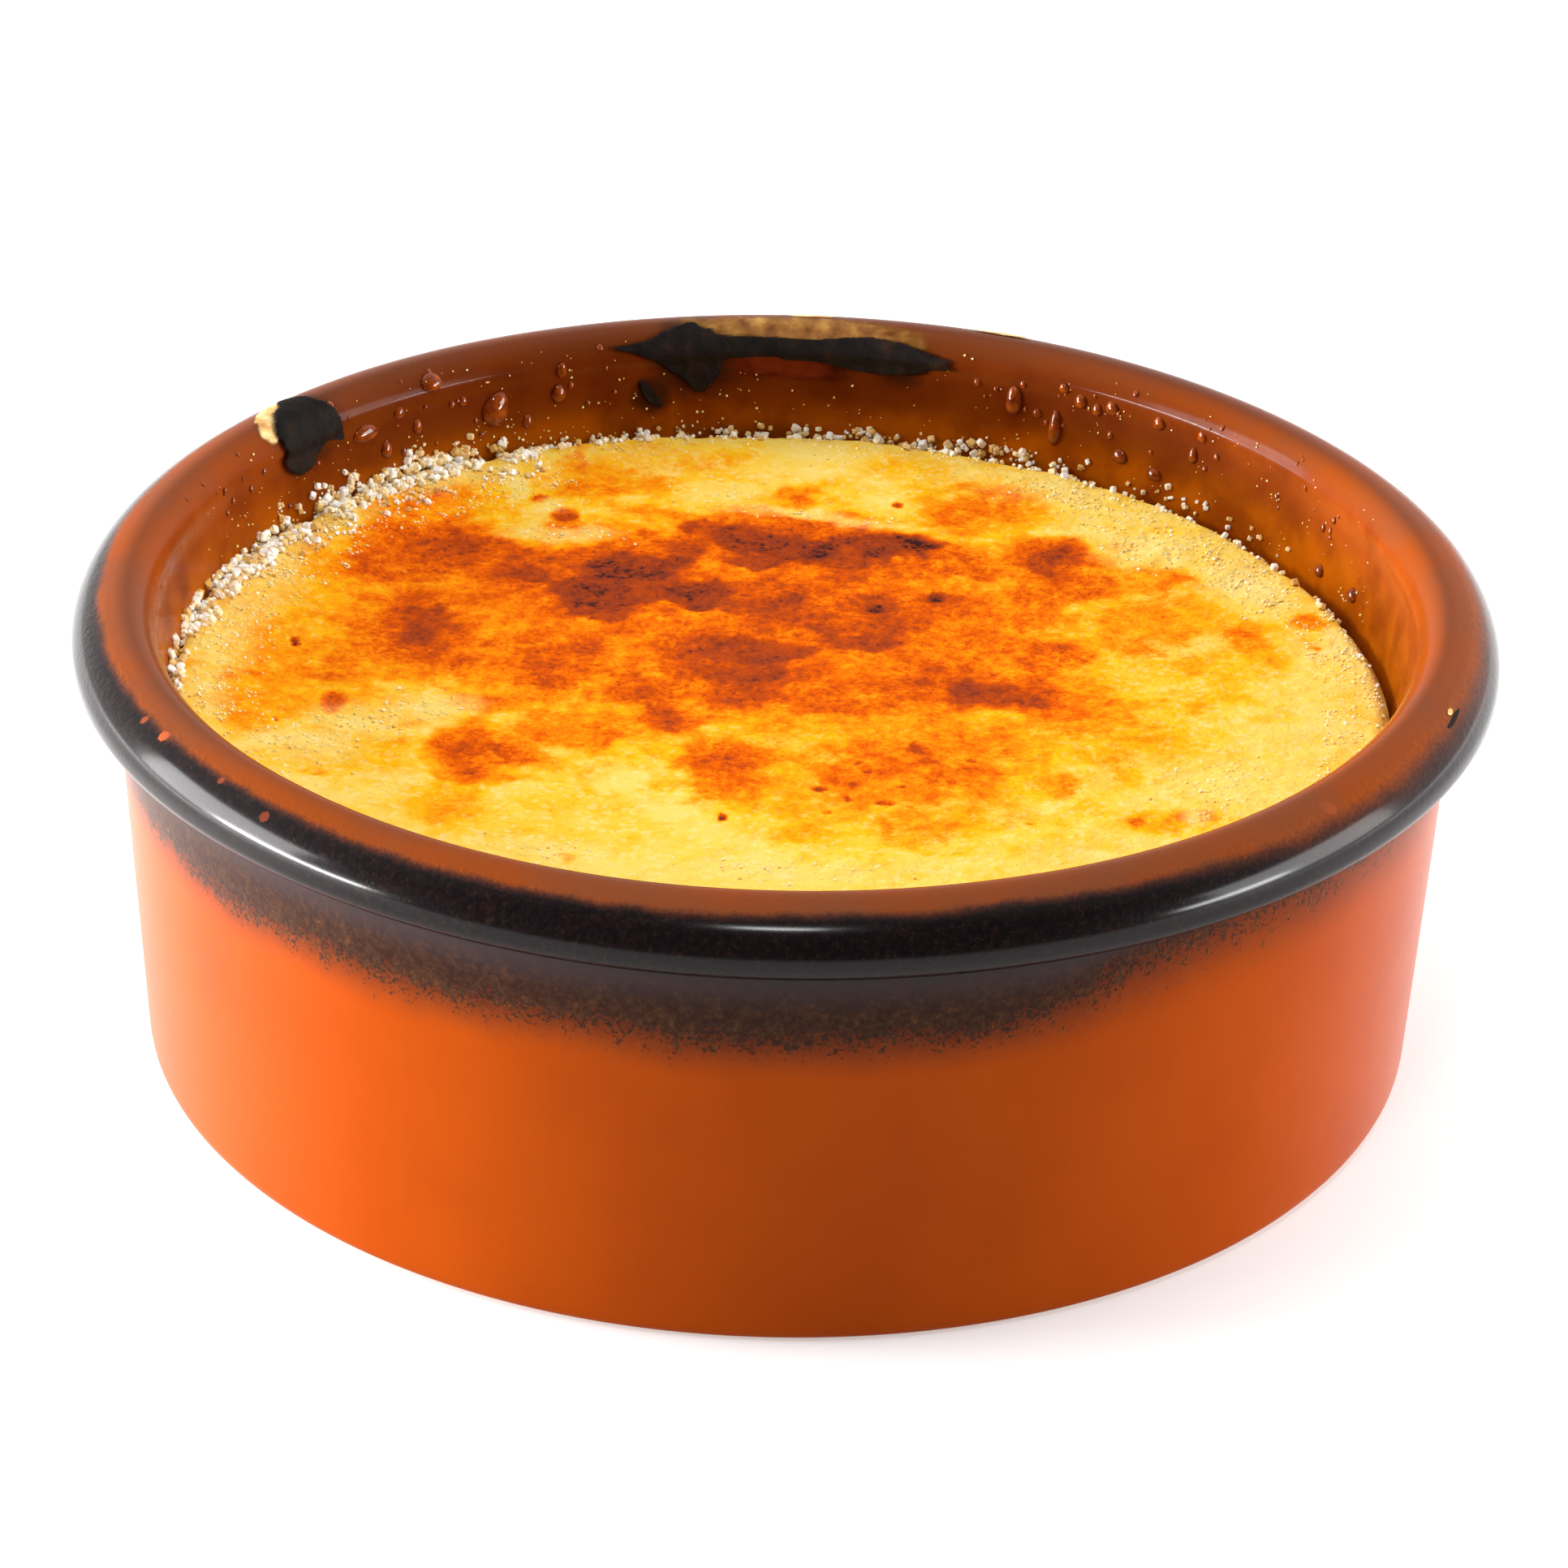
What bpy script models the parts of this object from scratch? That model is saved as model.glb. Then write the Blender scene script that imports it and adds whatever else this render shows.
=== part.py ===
"""A creme brulee in its round earthenware dish.

Two solids: the turned dish with its thick rolled rim, and the custard that fills it to a
little below the rim. The origin is the centre of the dish's flat base, +Z is up and the
dish's axis is Z. Run with: blender --background --python part.py
"""

import math

import bmesh
import bpy
from mathutils import Vector, noise

MM = 0.001

# Driving dimensions, in millimetres.
RIM_RADIUS = 60.0          # outermost point of the rolled rim
DISH_HEIGHT = 41.1         # crest of the rim above the table
ROLL_OUTER_WIDTH = 4.64    # from the crest out to the outermost point
ROLL_INNER_WIDTH = 2.75    # from the crest in towards the bowl
ROLL_UPPER_HEIGHT = 4.2    # from the outermost point up to the crest
ROLL_LOWER_HEIGHT = 2.1    # and down to the roll's underside
WALL_TOP_RADIUS = 56.4     # outside of the wall, just under the roll
BASE_RADIUS = 54.6         # outside of the wall at the table
FOOT_ROUNDING = 1.4        # radius of the edge between the wall and the flat base
ROLL_UNDERSIDE_DEG = -60   # where the roll's underside ends, seen from the roll's centre
UNDER_ROLL_FILLET = 0.9    # hollow where the roll meets the wall
FILLET_END_DEG = 96        # where the hollow ends, seen from its own centre
LIP_DEPTH = 2.3            # lip between the roll and the inner wall, below the crest
LIP_GROOVE_DEPTH = 0.8     # faint groove under the lip, below the lip
LIP_GROOVE_RADIUS = 53.05
INNER_SLOPE = 0.14         # inner wall, narrowing downwards, mm of radius per mm of depth
FLOOR_THICKNESS = 5.5
FLOOR_ROUNDING = 6.0       # inside corner between the floor and the wall

CUSTARD_LEVEL = 31.0       # mean height of the custard's top
SETTING_GAP = 0.35         # custard to dish, all round and below
SHRINK_GAP = 0.9           # extra gap where the custard has shrunk from the wall
SHRINK_DIRECTION = math.radians(45)   # middle of that stretch, seen from above
SHRINK_SHARPNESS = 1.6     # how quickly the extra gap closes away from it
EDGE_ROUNDING = 1.1        # rounded shoulder of the custard's top edge
CLIMB_HEIGHT = 0.9         # sugar and custard climb the wall this far on the far left
CLIMB_DIRECTION = math.radians(148)
CLIMB_SHARPNESS = 3.0
CLIMB_WIDTH = 7.0          # width of the climbing strip along the wall
DISHING = 0.5              # the middle has sunk this far
BLISTER_HEIGHT = 0.38      # uneven swelling of the torched sugar crust
BLISTER_SIZE = 11.0        # distance between swellings

# Fineness.
TURNS = 80                 # facets round the dish and the custard
OUTER_ROLL_STEPS = 8
INNER_ROLL_STEPS = 6
SMALL_ARC_STEPS = 4
CRUST_RINGS = 18
SAME_POINT = 0.00001       # metres; closer points are merged
SHARP_EDGE = math.radians(50)

# Finishes: colour and roughness.
TERRACOTTA = ((0.62, 0.13, 0.02), 0.35)
CUSTARD_YELLOW = ((0.90, 0.52, 0.10), 0.45)


def material(name, colour, roughness):
    finish = bpy.data.materials.new(name)
    finish.use_nodes = True
    shader = finish.node_tree.nodes["Principled BSDF"]
    shader.inputs["Base Color"].default_value = (*colour, 1.0)
    shader.inputs["Roughness"].default_value = roughness
    finish.diffuse_color = (*colour, 1.0)
    return finish


def arc(centre, radii, start_deg, end_deg, steps):
    """Points along an ellipse's arc in the (radius, height) plane, both ends included."""
    points = []
    for i in range(steps + 1):
        angle = math.radians(start_deg + (end_deg - start_deg) * i / steps)
        points.append((centre[0] + radii[0] * math.cos(angle), centre[1] + radii[1] * math.sin(angle)))
    return points


def inner_radius(height):
    """Radius of the dish's inner wall at this height, below the groove under the lip."""
    groove_height = DISH_HEIGHT - LIP_DEPTH - LIP_GROOVE_DEPTH
    return LIP_GROOVE_RADIUS - INNER_SLOPE * (groove_height - height)


def dish_profile():
    """The dish's section, from the centre of the base, round the rim, to the centre of the floor."""
    crest_radius = RIM_RADIUS - ROLL_OUTER_WIDTH
    widest_height = DISH_HEIGHT - ROLL_UPPER_HEIGHT
    roll_centre = (crest_radius, widest_height)
    lip_angle = 180 - math.degrees(math.asin(1 - LIP_DEPTH / ROLL_UPPER_HEIGHT))
    foot = arc((BASE_RADIUS - FOOT_ROUNDING, FOOT_ROUNDING), (FOOT_ROUNDING,) * 2, -90, 0, SMALL_ARC_STEPS)
    under = arc(
        roll_centre, (ROLL_OUTER_WIDTH, ROLL_LOWER_HEIGHT), ROLL_UNDERSIDE_DEG, 0, SMALL_ARC_STEPS,
    )
    over = arc(roll_centre, (ROLL_OUTER_WIDTH, ROLL_UPPER_HEIGHT), 0, 90, OUTER_ROLL_STEPS)
    inside = arc(roll_centre, (ROLL_INNER_WIDTH, ROLL_UPPER_HEIGHT), 90, lip_angle, INNER_ROLL_STEPS)
    fillet_centre = (WALL_TOP_RADIUS + UNDER_ROLL_FILLET, under[0][1] - UNDER_ROLL_FILLET)
    fillet = arc(
        fillet_centre, (UNDER_ROLL_FILLET,) * 2, 180, FILLET_END_DEG, SMALL_ARC_STEPS,
    )
    groove = (LIP_GROOVE_RADIUS, DISH_HEIGHT - LIP_DEPTH - LIP_GROOVE_DEPTH)
    corner_height = FLOOR_THICKNESS + FLOOR_ROUNDING
    corner = arc(
        (inner_radius(corner_height) - FLOOR_ROUNDING, corner_height),
        (FLOOR_ROUNDING,) * 2, 0, -90, SMALL_ARC_STEPS,
    )
    return [
        (0, 0), *foot, *fillet, *under, *over[1:], *inside[1:], groove, *corner, (0, FLOOR_THICKNESS),
    ]


def turned_mesh(name, profile):
    """A closed mesh made by turning a profile that starts and ends on the axis."""
    shape = bmesh.new()
    line = [shape.verts.new((radius * MM, 0, height * MM)) for radius, height in profile]
    edges = [shape.edges.new(pair) for pair in zip(line, line[1:])]
    bmesh.ops.spin(
        shape, geom=line + edges, cent=(0, 0, 0), axis=(0, 0, 1), angle=math.tau,
        steps=TURNS, use_merge=True,
    )
    bmesh.ops.remove_doubles(shape, verts=shape.verts, dist=SAME_POINT)
    bmesh.ops.recalc_face_normals(shape, faces=shape.faces)
    mesh = bpy.data.meshes.new(name)
    shape.to_mesh(mesh)
    shape.free()
    return mesh


def falloff(angle, direction, sharpness):
    """1 in a direction round the dish, falling smoothly to 0 on the opposite side."""
    return ((1 + math.cos(angle - direction)) / 2) ** sharpness


def custard_edge(angle):
    """Radius of the custard's side at its top, which has shrunk from the wall in one stretch."""
    extra = SHRINK_GAP * falloff(angle, SHRINK_DIRECTION, SHRINK_SHARPNESS)
    return inner_radius(CUSTARD_LEVEL) - SETTING_GAP - extra


def crust_height(angle, radius, edge):
    """Height of the custard's top: a sunken middle, blisters and a climb up the far left wall."""
    share = radius / edge
    spot = Vector((radius * math.cos(angle), radius * math.sin(angle), 0)) / BLISTER_SIZE
    height = CUSTARD_LEVEL - DISHING * (1 - share**2) + BLISTER_HEIGHT * noise.noise(spot)
    near_wall = math.exp(-(((edge - radius) / CLIMB_WIDTH) ** 2))
    height += CLIMB_HEIGHT * near_wall * falloff(angle, CLIMB_DIRECTION, CLIMB_SHARPNESS)
    past_shoulder = max(0.0, radius - (edge - EDGE_ROUNDING))
    return height - EDGE_ROUNDING + math.sqrt(max(0.0, EDGE_ROUNDING**2 - past_shoulder**2))


def custard_mesh():
    """The custard: an uneven crust, a side that follows the inner wall, and a rounded bottom."""
    shape = bmesh.new()
    corner_height = FLOOR_THICKNESS + FLOOR_ROUNDING
    corner_rounding = FLOOR_ROUNDING - SETTING_GAP
    corner = arc(
        (inner_radius(corner_height) - FLOOR_ROUNDING, corner_height),
        (corner_rounding,) * 2, 0, -90, SMALL_ARC_STEPS,
    )
    rings = []
    for step in range(1, CRUST_RINGS + 1):
        ring = []
        # The rings draw together towards the edge, where the shoulder turns down.
        share = math.sin(math.pi / 2 * step / CRUST_RINGS)
        for turn in range(TURNS):
            angle = math.tau * turn / TURNS
            edge = custard_edge(angle)
            radius = edge * share
            height = crust_height(angle, radius, edge)
            place = Vector((radius * math.cos(angle), radius * math.sin(angle), height))
            ring.append(shape.verts.new(place * MM))
        rings.append(ring)
    for radius, height in corner:
        angles = [math.tau * turn / TURNS for turn in range(TURNS)]
        places = [Vector((radius * math.cos(angle), radius * math.sin(angle), height)) for angle in angles]
        rings.append([shape.verts.new(place * MM) for place in places])
    for upper, lower in zip(rings, rings[1:]):
        for turn in range(TURNS):
            after = (turn + 1) % TURNS
            shape.faces.new((upper[turn], upper[after], lower[after], lower[turn]))
    middle = shape.verts.new((0, 0, crust_height(0, 0, custard_edge(0)) * MM))
    for turn in range(TURNS):
        shape.faces.new((middle, rings[0][turn], rings[0][(turn + 1) % TURNS]))
    shape.faces.new(rings[-1])
    bmesh.ops.recalc_face_normals(shape, faces=shape.faces)
    mesh = bpy.data.meshes.new("custard")
    shape.to_mesh(mesh)
    shape.free()
    return mesh


def add_piece(name, mesh, finish):
    piece = bpy.data.objects.new(name, mesh)
    bpy.context.scene.collection.objects.link(piece)
    mesh.shade_smooth()
    mesh.set_sharp_from_angle(angle=SHARP_EDGE)
    mesh.materials.append(finish)
    return piece


for left_over in list(bpy.data.objects):
    bpy.data.objects.remove(left_over)

add_piece("dish", turned_mesh("dish", dish_profile()), material("terracotta", *TERRACOTTA))
add_piece("custard", custard_mesh(), material("custard", *CUSTARD_YELLOW))
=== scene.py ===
# %% [markdown]
# # Dressing a creme brulee
#
# The dish and the custard are already modelled as plain solids and packed. This lesson
# gives them the looks of the real thing: turned and glazed earthenware, a custard whose
# sugar top was burnt under a flame, loose sugar, drips of caramel and charred spills.
# Everything is in metres and in the place where the solids are, so each new piece is
# shaped where it belongs and is never moved afterwards.

# %% Load the solids
import math
import random

import bpy
import numpy as np
from mathutils import Euler, Matrix, Vector, noise


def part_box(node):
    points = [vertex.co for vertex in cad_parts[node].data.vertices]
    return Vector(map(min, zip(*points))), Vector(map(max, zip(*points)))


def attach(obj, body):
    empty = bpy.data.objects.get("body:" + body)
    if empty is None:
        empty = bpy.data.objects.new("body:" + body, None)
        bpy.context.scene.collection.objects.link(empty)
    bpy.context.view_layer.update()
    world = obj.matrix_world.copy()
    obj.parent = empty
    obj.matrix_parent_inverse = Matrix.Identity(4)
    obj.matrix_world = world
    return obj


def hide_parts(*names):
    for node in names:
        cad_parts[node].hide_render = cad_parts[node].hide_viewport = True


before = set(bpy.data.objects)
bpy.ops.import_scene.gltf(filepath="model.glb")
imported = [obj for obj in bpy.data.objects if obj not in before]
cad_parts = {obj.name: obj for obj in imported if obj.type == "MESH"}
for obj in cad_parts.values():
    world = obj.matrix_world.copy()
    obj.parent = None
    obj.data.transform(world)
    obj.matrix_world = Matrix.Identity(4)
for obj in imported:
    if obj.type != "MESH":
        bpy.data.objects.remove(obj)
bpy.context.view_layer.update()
for node_name in sorted(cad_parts):
    lowest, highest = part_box(node_name)
    print(node_name, "spans", [round(1000 * side, 1) for side in highest - lowest], "mm")

# %% [markdown]
# ## Working in millimetres
#
# A dish is thought of in millimetres and Blender counts in metres. Sizes are written in
# millimetres here and turned into metres by one name. Chance, which scatters things, and
# the noise that moves points about both start from one seed, so the same dish comes out
# of every run.

# %% Units and chance
MM = 0.001
SEED = 27
chance = random.Random(SEED)
noise.seed_set(SEED)

# %% [markdown]
# ## Sums inside a material
#
# A glaze is a stack of masks, and a mask is a sum: how high, how far out, how speckled.
# Math nodes do such sums, but a page of linked nodes is hard to read. Wrapping a socket
# in a small class lets the sum be written as ordinary Python, and each operator adds the
# Math node that does it.

# %% A number that adds its own Math nodes
class Number:
    """One number socket of a finish, on which ordinary sums can be written."""

    def __init__(self, finish, socket):
        self.finish = finish
        self.socket = socket

    def __add__(self, other):
        return self.finish.sum_of("ADD", self, other)

    def __sub__(self, other):
        return self.finish.sum_of("SUBTRACT", self, other)

    def __rsub__(self, other):
        return self.finish.sum_of("SUBTRACT", other, self)

    def __mul__(self, other):
        return self.finish.sum_of("MULTIPLY", self, other)

    def __truediv__(self, other):
        return self.finish.sum_of("DIVIDE", self, other)

    def __pow__(self, other):
        return self.finish.sum_of("POWER", self, other)

    def at_least(self, other):
        return self.finish.sum_of("MAXIMUM", self, other)

    def at_most(self, other):
        return self.finish.sum_of("MINIMUM", self, other)

    __radd__ = __add__
    __rmul__ = __mul__

    def clamped(self):
        """The number held between 0 and 1."""
        return self.at_least(0.0).at_most(1.0)


# %% [markdown]
# ## One class for every finish
#
# Each finish starts with the same three things: a material, its Principled shader and
# the place on the object. What differs is the noise and the colours. The class keeps the
# shared start, one method that adds any node, and a few short words for the nodes that
# come back in every finish.

# %% The finish class
class Finish:
    """A node-based material, built up with a few plain words."""

    def __init__(self, name):
        self.material = bpy.data.materials.new(name)
        self.material.use_nodes = True
        self.tree = self.material.node_tree
        self.tree.nodes.clear()
        self.shader = self.add("ShaderNodeBsdfPrincipled")
        output = self.add("ShaderNodeOutputMaterial")
        self.tree.links.new(self.shader.outputs["BSDF"], output.inputs["Surface"])
        self.place = self.add("ShaderNodeTexCoord").outputs["Object"]

    def add(self, kind, settings=None, sockets=None):
        """Adds a node: its settings first, then the values or links of its sockets."""
        node = self.tree.nodes.new(kind)
        for name, value in (settings or {}).items():
            if name == "stops":
                self.set_stops(node.color_ramp, value)
            else:
                setattr(node, name, value)
        for name, value in (sockets or {}).items():
            self.feed(node.inputs[name], value)
        return node

    def set_stops(self, ramp, stops):
        """Gives a colour ramp its stops, each a position and a colour."""
        while len(ramp.elements) < len(stops):
            ramp.elements.new(1.0)
        for element, (position, colour) in zip(ramp.elements, stops):
            element.position = position
            element.color = (*colour, 1.0)

    def feed(self, socket, value):
        """Links a socket, or sets it to a plain value."""
        if isinstance(value, Number):
            self.tree.links.new(value.socket, socket)
        elif isinstance(value, bpy.types.NodeSocket):
            self.tree.links.new(value, socket)
        elif socket.type == "RGBA":
            socket.default_value = (*value, 1.0)
        else:
            socket.default_value = value

    def sum_of(self, operation, first, second):
        """A Math node on two numbers."""
        node = self.add("ShaderNodeMath", {"operation": operation}, {0: first, 1: second})
        return Number(self, node.outputs[0])

    def noise(self, size_mm, detail=3.0, stretch=(1, 1, 1), shift=0.0, roughness=0.55):
        """Cloudy noise from 0 to 1 whose blotches are about size_mm across."""
        place = self.add(
            "ShaderNodeMapping",
            None,
            {"Vector": self.place, "Location": (shift, shift, shift), "Scale": stretch},
        )
        texture = self.add(
            "ShaderNodeTexNoise",
            None,
            {
                "Vector": place.outputs[0],
                "Scale": 1 / (size_mm * MM),
                "Detail": detail,
                "Roughness": roughness,
            },
        )
        return Number(self, texture.outputs["Fac"])

    def cells(self, size_mm, output="Distance"):
        """Grains about size_mm apart: the distance from the nearest one's middle."""
        texture = self.add(
            "ShaderNodeTexVoronoi",
            None,
            {"Vector": self.place, "Scale": 1 / (size_mm * MM)},
        )
        return Number(self, texture.outputs[output])

    def painted(self, name):
        """A number that was painted on the mesh, point by point."""
        node = self.add("ShaderNodeAttribute", {"attribute_name": name})
        return Number(self, node.outputs["Fac"])

    def rise(self, number, start, end):
        """0 below start, 1 above end and a smooth rise between."""
        node = self.add(
            "ShaderNodeMapRange",
            {"interpolation_type": "SMOOTHSTEP"},
            {"Value": number, "From Min": start, "From Max": end},
        )
        return Number(self, node.outputs["Result"])

    def ramp(self, number, stops):
        """Colours picked by a number."""
        return self.add("ShaderNodeValToRGB", {"stops": stops}, {"Fac": number}).outputs["Color"]

    def blend(self, mask, below, above, mode="MIX"):
        """The colour above laid over the colour below wherever the mask is 1."""
        node = self.add(
            "ShaderNodeMix",
            {"data_type": "RGBA", "blend_type": mode},
            {0: mask, 6: below, 7: above},
        )
        return node.outputs[2]

    def bump(self, height_mm):
        """Roughens the surface by a height in millimetres."""
        node = self.add(
            "ShaderNodeBump",
            None,
            {"Height": height_mm, "Distance": MM, "Strength": 1.0},
        )
        self.feed(self.shader.inputs["Normal"], node.outputs[0])

    def set(self, **sockets):
        """Sets the shader's own sockets, with _ for the space in a name."""
        for name, value in sockets.items():
            self.feed(self.shader.inputs[name.replace("_", " ")], value)


# %% [markdown]
# ## Shaping by hand, from a script
#
# An operator works on whatever is selected, so every piece starts with nothing selected
# and nothing left over from the piece before. Short helpers keep that promise: one to go
# into edit mode, one to turn the faces out and leave it, and one to dress a piece.

# %% Helpers for edit mode
def name_new(name):
    """Names the primitive that was just added, and returns it."""
    piece = bpy.context.active_object
    piece.name = name
    piece.data.name = name
    return piece


def start_editing(piece, select="SELECT"):
    bpy.ops.object.select_all(action="DESELECT")
    piece.select_set(True)
    bpy.context.view_layer.objects.active = piece
    bpy.ops.object.mode_set(mode="EDIT")
    bpy.ops.mesh.select_mode(type="VERT")
    bpy.ops.mesh.select_all(action=select)


def stop_editing():
    """Turns every face outwards and goes back to object mode."""
    bpy.ops.mesh.select_all(action="SELECT")
    bpy.ops.mesh.normals_make_consistent(inside=False)
    bpy.ops.object.mode_set(mode="OBJECT")


def dress(piece, finish, body="root"):
    """Gives a piece its finish and smooth shading, and lets it ride on the model."""
    piece.data.materials.clear()
    piece.data.materials.append(finish.material)
    bpy.ops.object.select_all(action="DESELECT")
    piece.select_set(True)
    bpy.context.view_layer.objects.active = piece
    bpy.ops.object.shade_smooth()
    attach(piece, body)
    piece.data.calc_loop_triangles()
    print(piece.name, "has", len(piece.data.loop_triangles), "triangles")


# %% [markdown]
# ## The camera
#
# The dish is seen from a little above, with a long lens from about half a metre, so the
# far rim looks almost as wide as the near one. The camera is placed from the point it
# looks at, the distance and the angle above the table, and leans a little to one side.

# %% Place the camera
LOOK_AT = Vector((0.00017, 0.0, 0.02139))
CAMERA_DISTANCE = 0.4875
CAMERA_ELEVATION = math.radians(27.69)
CAMERA_LEAN = math.radians(1.35)
LENS_MM = 130.4

camera_data = bpy.data.cameras.new("camera")
camera_data.lens = LENS_MM
camera_data.sensor_width = 36.0
camera = bpy.data.objects.new("camera", camera_data)
bpy.context.scene.collection.objects.link(camera)
towards_camera = Vector((0, -math.cos(CAMERA_ELEVATION), math.sin(CAMERA_ELEVATION)))
tilt = Matrix.Rotation(math.radians(90) - CAMERA_ELEVATION, 4, "X")
camera.matrix_world = (
    Matrix.Translation(LOOK_AT + CAMERA_DISTANCE * towards_camera)
    @ tilt
    @ Matrix.Rotation(CAMERA_LEAN, 4, "Z")
)
bpy.context.scene.camera = camera

# %% [markdown]
# ## The table and the light
#
# A glossy dish is drawn by what it mirrors. Two soft boxes stand left and right at the
# height of the table and draw the long streaks on the rim, each with a wide, weak glow
# above it that shades the roll. A small lamp above the camera draws the short streak in
# front. A wide light overhead fills the bowl, and two low ones beside the dish brighten
# the sides of its wall. These three are not mirrored. The room is bright behind and dark
# in front, which is why the front of the rim stays black. The table is a back-lit white
# sheet, so shadows on it stay faint.

# %% The floor
FLOOR_SIDE = 4.0
TABLE_GLOW = 0.30

bpy.ops.object.select_all(action="DESELECT")
bpy.ops.mesh.primitive_plane_add(size=FLOOR_SIDE, location=(0, 0, 0))
floor = name_new("floor")
table_top = Finish("white_table")
table_shade = table_top.noise(60, 2)
table_top.set(
    Base_Color=table_top.ramp(table_shade, [(0.0, (0.71, 0.71, 0.71)), (1.0, (0.75, 0.75, 0.75))]),
    Roughness=0.7,
    Specular_IOR_Level=0.2,
    Emission_Color=(1.0, 1.0, 1.0),
    Emission_Strength=TABLE_GLOW,
)
floor.data.materials.append(table_top.material)


# %% The lights
LIGHTS_AIM = Vector((0, 0, 0.03))
# Each light: name, azimuth, elevation, distance, width, height and watts. Azimuth 0 is in
# front and 90 is right.
MIRRORED_LIGHTS = [
    ("left_box", -75, 4, 0.8, 0.40, 0.04, 7.5),
    ("left_glow", -92, 13, 0.8, 0.50, 0.34, 9.0),
    ("right_box", 69, 6, 0.8, 0.26, 0.06, 2.0),
    ("right_glow", 84, 12, 0.8, 0.50, 0.30, 4.2),
    ("front_lamp", -2, 63, 0.9, 0.13, 0.06, 1.3),
]
FILL_LIGHTS = [
    ("overhead", 180, 76, 1.3, 1.4, 1.1, 11.3),
    ("left_fill", -104, 2, 0.8, 0.50, 0.08, 22.0),
    ("right_fill", 112, 2, 0.8, 0.50, 0.08, 9.0),
]


def soft_light(name, azimuth_deg, elevation_deg, distance, width, height, watts):
    """A rectangular light that faces the dish."""
    azimuth = math.radians(azimuth_deg)
    elevation = math.radians(elevation_deg)
    direction = Vector((
        math.sin(azimuth) * math.cos(elevation),
        -math.cos(azimuth) * math.cos(elevation),
        math.sin(elevation),
    ))
    data = bpy.data.lights.new(name, "AREA")
    data.shape = "RECTANGLE"
    data.size = width
    data.size_y = height
    data.energy = watts
    lamp = bpy.data.objects.new(name, data)
    bpy.context.scene.collection.objects.link(lamp)
    lamp.location = LIGHTS_AIM + distance * direction
    lamp.rotation_euler = direction.to_track_quat("Z", "Y").to_euler()
    return lamp


for light in MIRRORED_LIGHTS:
    soft_light(*light)
for light in FILL_LIGHTS:
    soft_light(*light).visible_glossy = False

# %% The room
ROOM_FRONT = (0.05, 0.05, 0.052)
ROOM_BACK = (0.90, 0.90, 0.90)
# Where the room turns from dark to bright, from -1 in front to 1 behind.
DARK_UNTIL = -0.35
BRIGHT_FROM = 0.30

world = bpy.data.worlds.new("room")
world.use_nodes = True
room = world.node_tree
direction = room.nodes.new("ShaderNodeTexCoord").outputs["Generated"]
room_axes = room.nodes.new("ShaderNodeSeparateXYZ")
room.links.new(direction, room_axes.inputs[0])
backward = room.nodes.new("ShaderNodeMapRange")
backward.inputs["From Min"].default_value = DARK_UNTIL
backward.inputs["From Max"].default_value = BRIGHT_FROM
room.links.new(room_axes.outputs["Y"], backward.inputs["Value"])
shade = room.nodes.new("ShaderNodeMix")
shade.data_type = "RGBA"
shade.inputs[6].default_value = (*ROOM_FRONT, 1.0)
shade.inputs[7].default_value = (*ROOM_BACK, 1.0)
room.links.new(backward.outputs[0], shade.inputs[0])
room.links.new(shade.outputs[2], room.nodes["Background"].inputs["Color"])
bpy.context.scene.world = world
bpy.context.scene.view_settings.view_transform = "Standard"
print("camera, table and", len(bpy.data.lights), "lights are in place")

# %% [markdown]
# ## The dish's section
#
# The real dish is thrown or jiggered: one section turned about its axis. It has a small
# rounded foot, an almost upright wall, a thick roll for a rim, and inside the roll a
# thin lip before the wall goes down. The sizes are those of the solid model, and the
# arcs are finer.

# %% Sizes of the dish
RIM_RADIUS = 60.0
DISH_HEIGHT = 41.1
ROLL_OUTER_WIDTH = 4.64
ROLL_INNER_WIDTH = 2.75
ROLL_UPPER_HEIGHT = 4.2
ROLL_LOWER_HEIGHT = 2.1
ROLL_UNDERSIDE_DEG = -60
WALL_TOP_RADIUS = 56.4
BASE_RADIUS = 54.6
FOOT_ROUNDING = 1.4
UNDER_ROLL_FILLET = 0.9
FILLET_END_DEG = 96
LIP_DEPTH = 2.3
LIP_GROOVE_DEPTH = 0.8
LIP_GROOVE_RADIUS = 53.05
INNER_SLOPE = 0.14
FLOOR_THICKNESS = 5.5
FLOOR_ROUNDING = 6.0
LONGEST_STEP = 0.9


# %% Draw the section
def arc(centre, radii, start_deg, end_deg, steps):
    """Points along an ellipse's arc, as radius and height."""
    points = []
    for i in range(steps + 1):
        angle = math.radians(start_deg + (end_deg - start_deg) * i / steps)
        points.append((centre[0] + radii[0] * math.cos(angle), centre[1] + radii[1] * math.sin(angle)))
    return points


def inner_radius(height):
    """Radius of the inner wall at a height, below the lip."""
    return LIP_GROOVE_RADIUS - INNER_SLOPE * (DISH_HEIGHT - LIP_DEPTH - LIP_GROOVE_DEPTH - height)


def with_short_steps(points):
    """The same line with no step longer than LONGEST_STEP."""
    line = [points[0]]
    for start, end in zip(points, points[1:]):
        steps = max(1, math.ceil(math.dist(start, end) / LONGEST_STEP))
        for i in range(1, steps + 1):
            share = i / steps
            line.append((start[0] + (end[0] - start[0]) * share, start[1] + (end[1] - start[1]) * share))
    return line


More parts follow.
